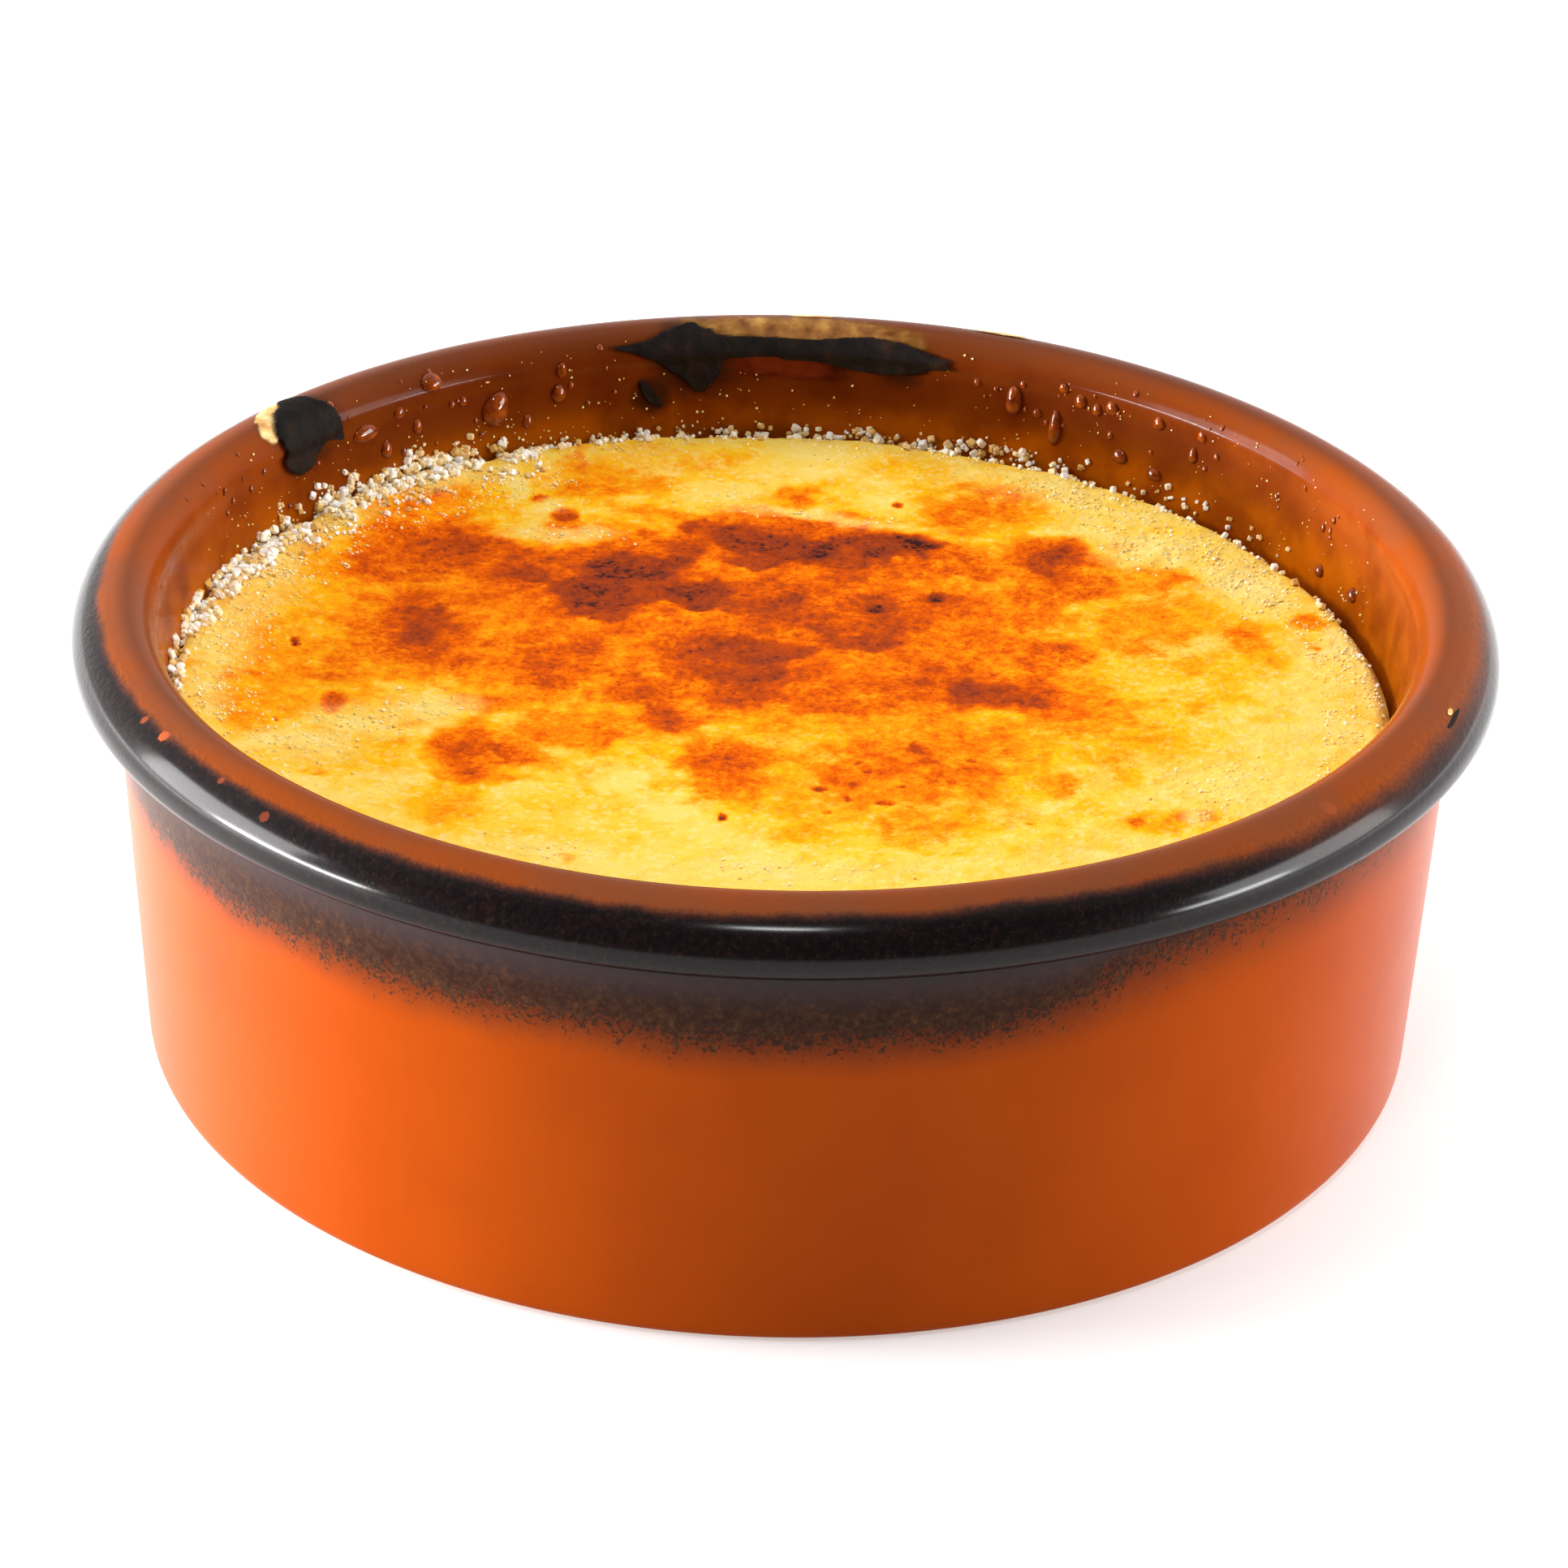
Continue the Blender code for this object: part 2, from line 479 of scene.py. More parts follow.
ROLL_CENTRE = (RIM_RADIUS - ROLL_OUTER_WIDTH, DISH_HEIGHT - ROLL_UPPER_HEIGHT)
lip_angle = 180 - math.degrees(math.asin(1 - LIP_DEPTH / ROLL_UPPER_HEIGHT))
foot_centre = (BASE_RADIUS - FOOT_ROUNDING, FOOT_ROUNDING)
foot = arc(foot_centre, (FOOT_ROUNDING, FOOT_ROUNDING), -90, 0, steps=6)
under = arc(ROLL_CENTRE, (ROLL_OUTER_WIDTH, ROLL_LOWER_HEIGHT), ROLL_UNDERSIDE_DEG, 0, steps=6)
over = arc(ROLL_CENTRE, (ROLL_OUTER_WIDTH, ROLL_UPPER_HEIGHT), 0, 90, steps=14)
inside = arc(ROLL_CENTRE, (ROLL_INNER_WIDTH, ROLL_UPPER_HEIGHT), 90, lip_angle, steps=10)
fillet_centre = (WALL_TOP_RADIUS + UNDER_ROLL_FILLET, under[0][1] - UNDER_ROLL_FILLET)
fillet = arc(fillet_centre, (UNDER_ROLL_FILLET, UNDER_ROLL_FILLET), 180, FILLET_END_DEG, steps=5)
groove = (LIP_GROOVE_RADIUS, DISH_HEIGHT - LIP_DEPTH - LIP_GROOVE_DEPTH)
corner_height = FLOOR_THICKNESS + FLOOR_ROUNDING
corner = arc(
    (inner_radius(corner_height) - FLOOR_ROUNDING, corner_height),
    (FLOOR_ROUNDING, FLOOR_ROUNDING), 0, -90, steps=8,
)
outside_line = with_short_steps([*foot, *fillet, *under, *over[1:]])
inside_line = with_short_steps([over[-1], *inside[1:], groove, *corner])
section = outside_line + inside_line[1:]
print("the section has", len(section), "points")

# %% [markdown]
# ## A place anywhere on the dish
#
# Sugar, drips and burnt spills lie on the curved rim and wall. They are placed by two
# numbers: the angle round the dish, and the way down into the bowl measured along the
# surface from the rim's crest. A hand-made dish is never quite round either, so one
# small unevenness is shared by the dish and all that lies on it.

# %% Places on the dish
crest_index = len(outside_line) - 1
section_line = np.array(section)
steps_along = np.hypot(*np.diff(section_line, axis=0).T)
way_in = np.concatenate([[0.0], np.cumsum(steps_along)])
way_in = way_in - way_in[crest_index]
# Each wave round the dish: how many times, how far in millimetres and from what angle.
UNEVEN_WAVES = ((2, 0.10, 40), (3, 0.08, 100), (5, 0.05, 10))


def uneven(point):
    """A millimetre point moved by the small unevenness of the thrown dish."""
    angle = math.atan2(point.y, point.x)
    swing = sum(size * math.cos(waves * angle + math.radians(turn)) for waves, size, turn in UNEVEN_WAVES)
    lifted = max(0.0, point.z / DISH_HEIGHT)
    radius = math.hypot(point.x, point.y)
    outward = 1 + swing * lifted / max(radius, 20.0)
    return Vector((point.x * outward, point.y * outward, point.z - 0.6 * abs(swing) * lifted))


def on_dish(angle_deg, way, lift=0.0):
    """A point on the dish in millimetres, lifted off the surface."""
    radius = float(np.interp(way, way_in, section_line[:, 0]))
    height = float(np.interp(way, way_in, section_line[:, 1]))
    ahead = (
        float(np.interp(way + 0.2, way_in, section_line[:, 0])),
        float(np.interp(way + 0.2, way_in, section_line[:, 1])),
    )
    run = Vector((ahead[0] - radius, ahead[1] - height)).normalized()
    angle = math.radians(angle_deg)
    out = Vector((math.cos(angle), math.sin(angle), 0))
    normal = out * run.y + Vector((0, 0, -run.x))
    return uneven(out * radius + Vector((0, 0, height)) + normal * lift)


# %% [markdown]
# ## Throwing the dish
#
# The shape could be spun from its section, or raised ring by ring as clay is. Raising it
# is the better lesson: a disc for the foot, and then each ring extruded from the last
# one, lifted and made wider or narrower. The last ring is drawn together on the axis, so
# the dish is closed.

# %% Raise the dish ring by ring
DISH_TURNS = 400


def raise_rings(turns, rings):
    """Builds a closed round shape from its rings, each a radius and a height in mm."""
    radius, height = rings[0]
    bpy.ops.object.select_all(action="DESELECT")
    bpy.ops.mesh.primitive_circle_add(
        vertices=turns, radius=radius * MM, fill_type="TRIFAN", location=(0, 0, height * MM)
    )
    piece = bpy.context.active_object
    bpy.ops.object.transform_apply(location=True, rotation=True, scale=True)
    start_editing(piece)
    bpy.ops.mesh.region_to_loop()
    for next_radius, next_height in rings[1:]:
        lift = (0, 0, (next_height - height) * MM)
        grow = next_radius / radius
        bpy.ops.mesh.extrude_edges_move(TRANSFORM_OT_translate={"value": lift})
        bpy.ops.transform.resize(value=(grow, grow, 1), center_override=(0, 0, next_height * MM))
        radius, height = next_radius, next_height
    bpy.ops.mesh.extrude_edges_move()
    bpy.ops.mesh.merge(type="CENTER")
    stop_editing()
    return piece


raise_rings(DISH_TURNS, section)
dish = name_new("glazed_dish")
for vertex in dish.data.vertices:
    vertex.co = uneven(vertex.co / MM) * MM
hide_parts("dish")
print("the dish is", [round(1000 * side, 1) for side in dish.dimensions], "mm")

# %% [markdown]
# ## Glaze on earthenware
#
# The wall is a satin orange glaze on red clay. Rim and neck were sprayed black before
# firing: solid on the outside of the roll, thinning into specks on the wall below. The
# inside is a honey-coloured glaze, browner on the roll. All of it follows from two
# numbers, the height and the distance from the axis, both in millimetres, broken up by
# noise. Chips in the spray and scorched places round the char are then laid on top, each
# as a soft ball.

# %% Colours of the glaze
WALL_ORANGE = (0.265, 0.0385, 0.0007)
WALL_DEEP = (0.224, 0.0305, 0.0005)
SPRAY_ON_ROLL = [
    (0.35, (0.003, 0.002, 0.003)), (0.55, (0.007, 0.004, 0.004)), (0.70, (0.022, 0.009, 0.005)),
]
SPRAY_ON_WALL = [
    (0.34, (0.007, 0.005, 0.005)), (0.48, (0.017, 0.010, 0.007)), (0.58, (0.034, 0.017, 0.009)),
    (0.70, (0.110, 0.042, 0.012)),
]
SPRAY_GREY = (0.025, 0.024, 0.027)
PAINTED_BACK_SHADE = (0.060, 0.010, 0.001)
SCORCH_BROWN = (0.030, 0.009, 0.003)
RIM_SHADE = (0.045, 0.012, 0.006)
RIM_BROWN = (0.155, 0.038, 0.010)
LOW_HONEY_WITH_PAINTED_LIGHT = (0.38, 0.084, 0.0006)
HONEY_DARK = (0.205, 0.036, 0.0008)
UPPER_HONEY = (0.22, 0.040, 0.004)
UPPER_DARK = (0.15, 0.024, 0.003)
CHIP_RED = (0.26, 0.050, 0.014)
BARE_CLAY = (0.40, 0.16, 0.08)
# Each chip in the spray: x, y, z, radius and how bare it is.
CHIPS = [
    (-49.2, -30.5, 40.4, 0.6, 1.0), (-51.1, -27.6, 40.3, 0.4, 0.6), (-44, -37.8, 40.45, 0.35, 0.5),
    (-40.1, -42.7, 39.85, 0.50, 0.35), (42.8, -38.4, 40.6, 0.8, 0.5),
]
# Where the glaze is scorched round the char: angle, way in and radius.
SCORCHES = [
    (99.5, 3.6, 4.6), (93.0, 3.2, 2.8), (86.0, 3.4, 3.0), (79.0, 3.8, 2.8), (143.8, 2.4, 4.6),
    (104.2, 7.4, 2.0),
]

# %% The wall's glaze
glaze = Finish("earthenware_glaze")
axes = glaze.add("ShaderNodeSeparateXYZ", None, {0: glaze.place})
across = Number(glaze, axes.outputs["X"]) / MM
along = Number(glaze, axes.outputs["Y"]) / MM
height = Number(glaze, axes.outputs["Z"]) / MM
radius = (across * across + along * along) ** 0.5

clouds = glaze.noise(14, 2)
mottle = glaze.noise(1.3, 4)
specks = glaze.noise(0.34, 3, roughness=0.75)
wall = glaze.blend(glaze.rise(clouds, 0.30, 0.75) * 0.6, WALL_ORANGE, WALL_DEEP)
wall = glaze.blend(glaze.rise(specks, 0.45, 0.80) * 0.25, wall, WALL_DEEP)

# %% The spray on the wall
# A thin haze, and droplets that crowd together towards the roll.
right_side = glaze.rise(across, 12, 38)
spray_start = 25.7 + right_side * 2.5 + (glaze.noise(11, 3) - 0.5) * 2.4
spray_depth = ((height - spray_start) / (3.4 + right_side * 3.2)).at_most(1.6)
droplets = glaze.rise(spray_depth + (specks - 0.5) * 2.6 + (mottle - 0.5) * 1.4, 0.35, 0.95)
haze = glaze.rise(spray_depth, -0.35, 1.1) * 0.82
spray_cover = droplets.at_least(haze) * (0.96 + glaze.rise(height, 33.0, 35.0) * 0.04)
spray_cover = spray_cover * (1 - glaze.rise(across, 42, 60) * glaze.rise(height, 35.5, 37.0) * 0.35)
below_crest = glaze.rise(height, 40.2, 39.2)
wall_side = glaze.rise(radius, 53.2, 54.2) * below_crest

# %% The spray on the roll
# It ends beyond the crest, further out on the right.
top_edge = 57.5 + glaze.rise(across, 15, 45) * 0.8 + (glaze.noise(5, 3) - 0.5) * 1.0
softness = 0.45 + glaze.rise(across, 25, 50) * 0.7
past_edge = (radius - top_edge) / softness + (specks - 0.5) * 1.4
outside_mask = glaze.rise(past_edge, -0.6, 0.8) * glaze.rise(height, 36.0, 36.6)
spray_mask = (spray_cover * wall_side).at_least(outside_mask)
spray_grain = glaze.noise(0.55, 5, shift=7.0, roughness=0.8)
on_neck = glaze.ramp(spray_grain * 0.7 + mottle * 0.3, SPRAY_ON_WALL)
thick_spray = glaze.rise(height, 30.5, 34.0) * glaze.rise(spray_depth, 0.9, 1.5)
on_neck = glaze.blend(thick_spray * 0.82, on_neck, SPRAY_GREY)
on_roll = glaze.ramp(spray_grain, SPRAY_ON_ROLL)
spray_colour = glaze.blend(glaze.rise(height, 36.2, 34.8), on_roll, on_neck)
spray_fringe = glaze.rise(past_edge, 1.6, 0.2) * glaze.rise(height, 38.0, 39.0)
spray_colour = glaze.blend(spray_fringe, spray_colour, RIM_SHADE)

# %% The bowl's glaze
# Honey-coloured, darker towards the rim and lighter low on the wall, partly the glaze's own tone and partly
# painted light against the shade by the crust. At the back it is darkened as painted shade.
bowl_mask = glaze.rise(radius, 53.6, 52.9)
honey_clouds = glaze.rise(glaze.noise(6, 4, shift=3.0), 0.35, 0.70)
honey = glaze.blend(honey_clouds, LOW_HONEY_WITH_PAINTED_LIGHT, HONEY_DARK)
upper_honey = glaze.blend(honey_clouds, UPPER_HONEY, UPPER_DARK)
# Lighter low on the wall: partly the glaze's own tone, partly painted light against the shade near the
# crust.
honey = glaze.blend(glaze.rise(height, 33.0, 37.0), honey, upper_honey)
# Painted shade: the back of the bowl is darkened by its place, because less light reaches it there.
painted_shade_at_back = glaze.rise(along, 18, 42)
honey = glaze.blend(painted_shade_at_back * glaze.rise(height, 31.5, 35.0) * 0.60, honey, PAINTED_BACK_SHADE)
rim = glaze.blend(glaze.rise(clouds, 0.3, 0.7), RIM_BROWN, HONEY_DARK)
# Painted shade on the rim's top at the back.
rim = glaze.blend(painted_shade_at_back * 0.45, rim, PAINTED_BACK_SHADE)
upper = glaze.blend(bowl_mask, rim, honey)
on_top = glaze.rise(height, 37.2, 37.9).at_least(bowl_mask * glaze.rise(height, 4.0, 5.0))
body = glaze.blend(on_top, wall, upper)
body = glaze.blend(spray_mask, body, spray_colour)


# %% Chips and scorches
def far_from(middle, reach):
    """The distance from a point, both in millimetres, as a share of the reach."""
    gap = glaze.add(
        "ShaderNodeVectorMath", {"operation": "DISTANCE"}, {0: glaze.place, 1: middle * MM}
    )
    return Number(glaze, gap.outputs["Value"]) / (reach * MM)


for x, y, z, chip_radius, bareness in CHIPS:
    gap = far_from(Vector((x, y, z)), chip_radius) + (specks - 0.5) * 0.8
    body = glaze.blend(glaze.rise(gap, 1.1, 0.7) * bareness, body, CHIP_RED)
for angle, way, scorch_radius in SCORCHES:
    gap = far_from(on_dish(angle, way), scorch_radius) + (mottle - 0.5) * 0.6
    body = glaze.blend(glaze.rise(gap, 1.15, 0.60) * 0.85, body, SCORCH_BROWN)
bare = glaze.rise(height, 0.5, 0.2)
body = glaze.blend(bare, body, BARE_CLAY)

# %% The clear coat
# It is strongest on the black roll, and stronger on the sides than in front.
black_roll = spray_mask * glaze.rise(height, 35.4, 36.8)
brown = on_top * (1 - spray_mask)
lip = glaze.rise(height, 36.4, 37.4) * glaze.rise(height, 39.4, 38.4) * glaze.rise(radius, 55.2, 54.4)
sides = glaze.rise(across, -29, -52).at_least(glaze.rise(across, 36, 55))
shine = 0.08 + sides * 0.45 * (1 - on_top)
shine = shine + black_roll * 0.50
shine = shine + brown * (0.22 - bowl_mask * 0.16)
shine = shine + lip * 0.30
glaze.set(
    Base_Color=body,
    Roughness=0.50 - black_roll * 0.28 - on_top * 0.22 + bare * 0.4 + (mottle - 0.5) * 0.08,
    Specular_IOR_Level=0.01,
    Coat_Weight=shine,
    Coat_Roughness=0.15,
    Coat_IOR=1.38,
)

# %% The glaze's relief
# In millimetres: a faint unevenness, orange peel on the roll and ripples inside.
peel = glaze.noise(0.6, 4, shift=4.0, roughness=0.7)
ripples = glaze.noise(2.0, 3, shift=11.0)
outside_roll = glaze.rise(radius, 56.6, 57.8) * glaze.rise(height, 35.4, 36.4)
inner_face = glaze.rise(radius, 54.8, 53.6) * glaze.rise(height, 4.0, 5.0)
relief = mottle * 0.024 + clouds * 0.03 + specks * 0.004
relief = relief + outside_roll * peel * 0.12
relief = relief + (lip * 0.10 + inner_face * 0.02) * ripples
glaze.bump(relief)
dress(dish, glaze)

# %% [markdown]
# ## The custard's shape
#
# The custard is a flat disc that fills the bowl. Its top sinks a little to the middle,
# has low blisters, climbs the wall where sugar stuck to it, and has shrunk from the wall
# at the far right. A disc of rings is coarse outside and crowded at the axis, so six
# triangles are divided evenly instead and their hexagon is then pushed out to a circle.

# %% Sizes of the custard
CUSTARD_LEVEL = 31.0
SETTING_GAP = 0.35
SHRINK_GAP = 0.9
SHRINK_DIRECTION = math.radians(45)
SHRINK_SHARPNESS = 1.6
EDGE_ROUNDING = 1.1
CLIMB_HEIGHT = 0.9
CLIMB_DIRECTION = math.radians(148)
CLIMB_SHARPNESS = 3.0
CLIMB_WIDTH = 7.0
DISHING = 0.5
BLISTER_HEIGHT = 0.38
BLISTER_SIZE = 11.0


# %% Height of the crust
def falloff(angle, direction, sharpness):
    """1 in a direction round the dish, falling smoothly to 0 on the opposite side."""
    return ((1 + math.cos(angle - direction)) / 2) ** sharpness


def custard_edge(angle):
    """Radius of the custard at its top, which touches the wall on the left."""
    extra = SHRINK_GAP * falloff(angle, SHRINK_DIRECTION, SHRINK_SHARPNESS)
    touching = SETTING_GAP * falloff(angle, math.radians(190), 1.0)
    return inner_radius(CUSTARD_LEVEL) - SETTING_GAP - extra + touching


def crust_height(x, y):
    """Height of the custard's top in millimetres, without its finest grain."""
    radius = math.hypot(x, y)
    angle = math.atan2(y, x)
    edge = custard_edge(angle)
    share = min(1.0, radius / edge)
    height = CUSTARD_LEVEL - DISHING * (1 - share**2)
    height += BLISTER_HEIGHT * noise.noise(Vector((x, y, 0)) / BLISTER_SIZE)
    near_wall = math.exp(-(((edge - radius) / CLIMB_WIDTH) ** 2))
    height += CLIMB_HEIGHT * near_wall * falloff(angle, CLIMB_DIRECTION, CLIMB_SHARPNESS)
    past_shoulder = max(0.0, radius - (edge - EDGE_ROUNDING))
    return height - EDGE_ROUNDING + math.sqrt(max(0.0, EDGE_ROUNDING**2 - past_shoulder**2))


# %% [markdown]
# ## Where the flame caught it
#
# A flame browns sugar unevenly: wide amber fields, plates of dark caramel with a sharp
# far edge, and small round spots. They are laid out as soft ellipses, and noise then
# frays them. Each has its place, half length, half width and heat, and a last number
# where it is turned. Heat 0 is plain custard, about a half is amber and 1 is char. The
# patches of unmelted sugar are laid out in the same way, with their strength for the heat.

# %% Marks of the flame
# The wash at (-33, 33), by the upper-left wall, is partly browning and partly painted shade of the wall and
# the sugar grains there.
GOLDEN_WASH = [
    (-6, 10, 41, 33, 0.36), (9, 8, 31, 31, 0.36), (-36, 12, 14, 27, 0.37), (-33, 33, 10, 9, 0.42, 40),
    (9, -15, 22, 15, 0.34), (18, 36, 10, 7, 0.41), (-17, 40, 10, 6, 0.34), (33, 17, 9, 11, 0.31),
    (-12, 45, 12, 4.4, 0.30), (12, 45, 9, 4, 0.22), (40, 11, 6, 6, 0.34), (36, 3, 7, 9, 0.24),
    (-43, 0, 9, 16, 0.38), (-46, 10, 5, 16, 0.32), (27, -8, 9, 9, 0.31), (-27, -22, 5, 6, 0.31),
    (32, -23, 6, 3, 0.32, 10), (-36, -14, 9, 6, 0.24), (-20, -24, 16, 7, 0.16),
    (44, 24, 4, 9, 0.14, 30),
]
AMBER_FIELDS = [
    (-6, 16, 24, 19, 0.49), (6, 11, 20, 19, 0.49), (-22, 14, 16, 15, 0.49), (16, 10, 14, 14, 0.45),
    (0, -1, 20, 8.5, 0.46), (-22, 2, 9, 9, 0.47), (-33, 25, 8, 10, 0.48), (-33, 8, 9, 12, 0.49),
    (-40, 1, 5, 3.4, 0.46), (24, 24, 9, 8, 0.50), (33, 22, 4.5, 4, 0.43), (31, 13, 4, 7, 0.40),
    (18, 36.5, 5.5, 5.5, 0.43), (1.5, 38, 2.8, 3.4, 0.44), (-25, -13, 6, 6.5, 0.51),
    (-5, -15, 5, 8, 0.49), (9, -14, 10, 10, 0.44), (12, -11, 11, 9, 0.45), (11, -24, 4, 4.5, 0.37),
    (-17, -8, 10, 4.5, 0.45), (23.5, -17, 2.2, 2.8, 0.37), (24, -2, 8, 8.5, 0.45),
    (40, 12, 3.4, 3.2, 0.42), (-17, 38.5, 5, 3, 0.39), (-4, 32.8, 12, 3.0, 0.50, -5),
    (2, -25.5, 2.4, 2.4, 0.31), (34, 6, 2, 2, 0.35), (-46, -5, 1.6, 1.4, 0.41),
    (-38.5, -17.5, 1.6, 1.4, 0.41), (-27, -22.5, 2, 2.2, 0.35), (45.5, 15, 1, 1.8, 0.43),
    (46.5, 9, 0.8, 1, 0.39), (-20, 43, 1.6, 2.4, 0.41), (21, -12, 2.8, 3.4, 0.35),
    (32, -2, 1.6, 1.6, 0.31), (-17, -31, 1, 1.2, 0.41),
]
RED_BROWN = [
    (-16, 21, 14.5, 10, 0.63), (1, 28.0, 17, 7.2, 0.62, -5), (1, 15, 12, 9, 0.60),
    (-30, 26, 7, 7.6, 0.62), (-35, 22, 4.5, 3.5, 0.56), (-32, 10, 5.8, 9, 0.59),
    (-4, 4, 10.5, 9.5, 0.63), (-12, -1, 5.2, 5.4, 0.58), (-10, -5.5, 4.4, 3.4, 0.57),
    (-20.5, 2.5, 4.4, 7, 0.57), (-18, 7, 3.2, 2.6, 0.55), (24, 26, 6, 5.4, 0.59),
    (27, 21.5, 4.4, 4, 0.55), (21.5, 19, 5, 3.2, 0.53), (18, 0.5, 9.4, 5.2, 0.61, -12),
    (13, 3, 5.4, 4.2, 0.60), (18, 10, 4.6, 3.4, 0.51), (23, 7, 4.4, 4.4, 0.58), (8, 13, 6.8, 6.4, 0.61),
    (13.5, 16.5, 4.2, 4.2, 0.56), (-24.5, -13.5, 4.6, 4.2, 0.59), (-5, -13, 3.4, 5, 0.55),
    (3, -2, 7, 4.4, 0.54), (11, -11.5, 2.2, 3.8, 0.57, 20), (6, -16, 4.4, 2.6, 0.51),
    (16, 25.5, 5, 5.4, 0.57), (-26, -4, 4.4, 3.6, 0.52), (16, -16, 3, 4, 0.47),
]
CARAMEL_PLATES = [
    (-14, 19.8, 8.2, 5.4, 0.84), (-13, 23.2, 6.0, 3.2, 0.88, 5), (-16.5, 17.2, 4.6, 3.8, 0.86),
    (-8, 17.8, 4, 3.8, 0.83), (-16, 14.6, 4.4, 2.6, 0.78), (-22.5, 21.5, 2, 2.8, 0.77, 25),
    (-8, 15.3, 1.7, 1.3, 0.88), (-19.5, 18.5, 2.8, 2.4, 0.80), (-4, 29.8, 4.7, 3.5, 0.84),
    (0.5, 28.0, 5.4, 2.9, 0.88, -10), (8.5, 28.9, 6.2, 3.4, 0.85), (11.5, 28.8, 2.3, 2.1, 0.89),
    (8, 26.8, 2.7, 1.8, 0.88), (-2, 25, 3.2, 2.2, 0.78), (-8, 31.8, 3.2, 2, 0.71),
    (4, 25.6, 5, 1.9, 0.77), (-2.5, 7, 5.4, 3.3, 0.80), (-2, 3.2, 3.7, 3, 0.79),
    (-1, 0, 2.5, 3.1, 0.72), (-5, 3, 2.6, 2, 0.70), (0, 15.6, 3.2, 2.8, 0.76),
    (-3.8, 15.4, 3.4, 1.6, 0.73), (2.5, 11.8, 1.6, 1.5, 0.75), (7, 9.3, 4.2, 1.7, 0.73),
    (9.2, 12.5, 1.3, 3.8, 0.72), (8.1, 16.8, 2, 2.4, 0.80), (-31.5, 11.5, 3.3, 4.2, 0.76),
    (-32.5, 7.5, 2.3, 2.7, 0.71), (-29.2, 9.5, 2, 2, 0.70), (17.5, 0.4, 5, 2.2, 0.78, -12),
    (21.5, -1.6, 2.4, 1.5, 0.74, -12), (12.5, 2, 1.9, 1.7, 0.71), (23, 24.8, 1.9, 1.9, 0.71),
    (25, 26.8, 2.6, 2, 0.67), (-9, 27.5, 3, 2.2, 0.74), (-29.5, 26, 3.1, 2.7, 0.70),
    (-12, -1.5, 1.7, 2.1, 0.71), (-10.5, -5.5, 2, 2.4, 0.67), (-21.5, 3, 1.9, 2.4, 0.66),
    (-20.5, -0.5, 1.8, 1.6, 0.63), (13.6, 18, 1.8, 1.5, 0.72),
]
FLAME_SPOTS = [
    (-37.8, -5, 1.5, 2.3, 0.70), (-20, 33, 1.6, 2, 0.69), (-22.5, 36.3, 1.3, 0.8, 0.56, 30),
    (-24.3, -12, 1.7, 1.4, 0.67), (-26, -16.3, 1.3, 0.8, 0.64), (-4.5, -12.7, 1.5, 1.3, 0.62),
    (10.9, -10.6, 0.8, 2.1, 0.75, 10), (12, -13, 1.2, 0.9, 0.75), (3.2, -17.8, 0.9, 0.6, 0.82),
    (10, -18, 0.5, 0.4, 0.88), (5.8, -17.2, 0.4, 0.3, 0.82), (5.5, -19.5, 0.4, 0.3, 0.82),
    (8.5, -20.5, 1.6, 0.5, 0.70), (3.5, -22.2, 0.5, 0.3, 0.74), (29, -23, 1.3, 1.1, 0.52),
    (33.5, -22, 2.6, 1.5, 0.44), (1.2, 38, 1.4, 1.6, 0.51), (9.8, 36.7, 0.5, 0.7, 0.82),
    (40, 12, 1.2, 1, 0.55), (7.9, 16.3, 1.3, 1.4, 1.0), (13.2, 18.6, 1, 0.9, 0.93),
    (8.1, 18.4, 0.6, 0.5, 0.92), (-18, 38.8, 1, 0.7, 0.50), (-42.2, 6.4, 0.35, 0.9, 1.0, 15),
    (-5.1, -24.4, 0.35, 0.6, 1.0), (-42.5, -8.8, 0.3, 0.4, 0.85), (-16, -8.2, 1, 0.8, 0.53),
    (23.5, -17, 0.8, 1, 0.46), (6, -13.4, 0.5, 0.4, 0.74), (15.5, -12.5, 0.5, 0.4, 0.70),
    (20.2, -23.6, 0.6, 0.4, 0.56), (7, -15.2, 0.5, 0.4, 0.74), (14.5, -17, 0.5, 0.4, 0.70),
    (-9.5, -8, 0.9, 0.6, 0.72),
]
SUGAR_FROST = [
    (-20, 29.4, 5, 1.4, 0.8, -5), (-25.5, 39.5, 1.2, 4.8, 0.7, 5), (32, 28.5, 5, 3.4, 0.9, -35),
    (36.5, 37, 3, 2, 0.9, -40), (40.5, 22, 3.5, 7, 0.7, 20), (48.3, 12, 1.6, 6, 0.8, 5),
    (-30, -5, 4.4, 3.2, 0.8, 15), (-35, -8.5, 5, 3.4, 0.6), (-47, 14, 3.4, 13, 0.6, -8),
    (-42, 27, 3, 7, 0.7, -38), (-31.5, 39, 6, 2.4, 0.7, 40), (-39, -13, 5, 3.4, 0.6),
    (-6, 38.5, 4.4, 2.2, 0.5), (3, 34.4, 10, 1, 0.7, -8), (28, 33, 3, 3, 0.3),
    (-19, -30, 5, 2.6, 0.4, -10), (0, -33, 10, 2.2, 0.4), (24, 40, 9, 3, 0.5, -30),
    (-15, 46, 9, 2, 0.25, 15), (8, 47, 12, 1.6, 0.25), (34.5, -22, 1, 2, 0.8), (36, -16, 5, 6, 0.3),
    (-21, 35, 1.6, 1.4, 0.5), (-48.5, -2, 2, 9, 0.5), (50, 2, 1.4, 6, 0.7),
]


# %% Work out the heat of a point
MELTING = 9.0


def frayed(x, y, wide, fine):
    """The point moved about by noise, so that round marks get ragged edges."""
    slow = noise.noise_vector(Vector((x, y, 0)) / 6.0)
    quick = noise.noise_vector(Vector((x, y, 40)) / 1.8)
    return x + wide * slow.x + fine * quick.x, y + wide * slow.y + fine * quick.y


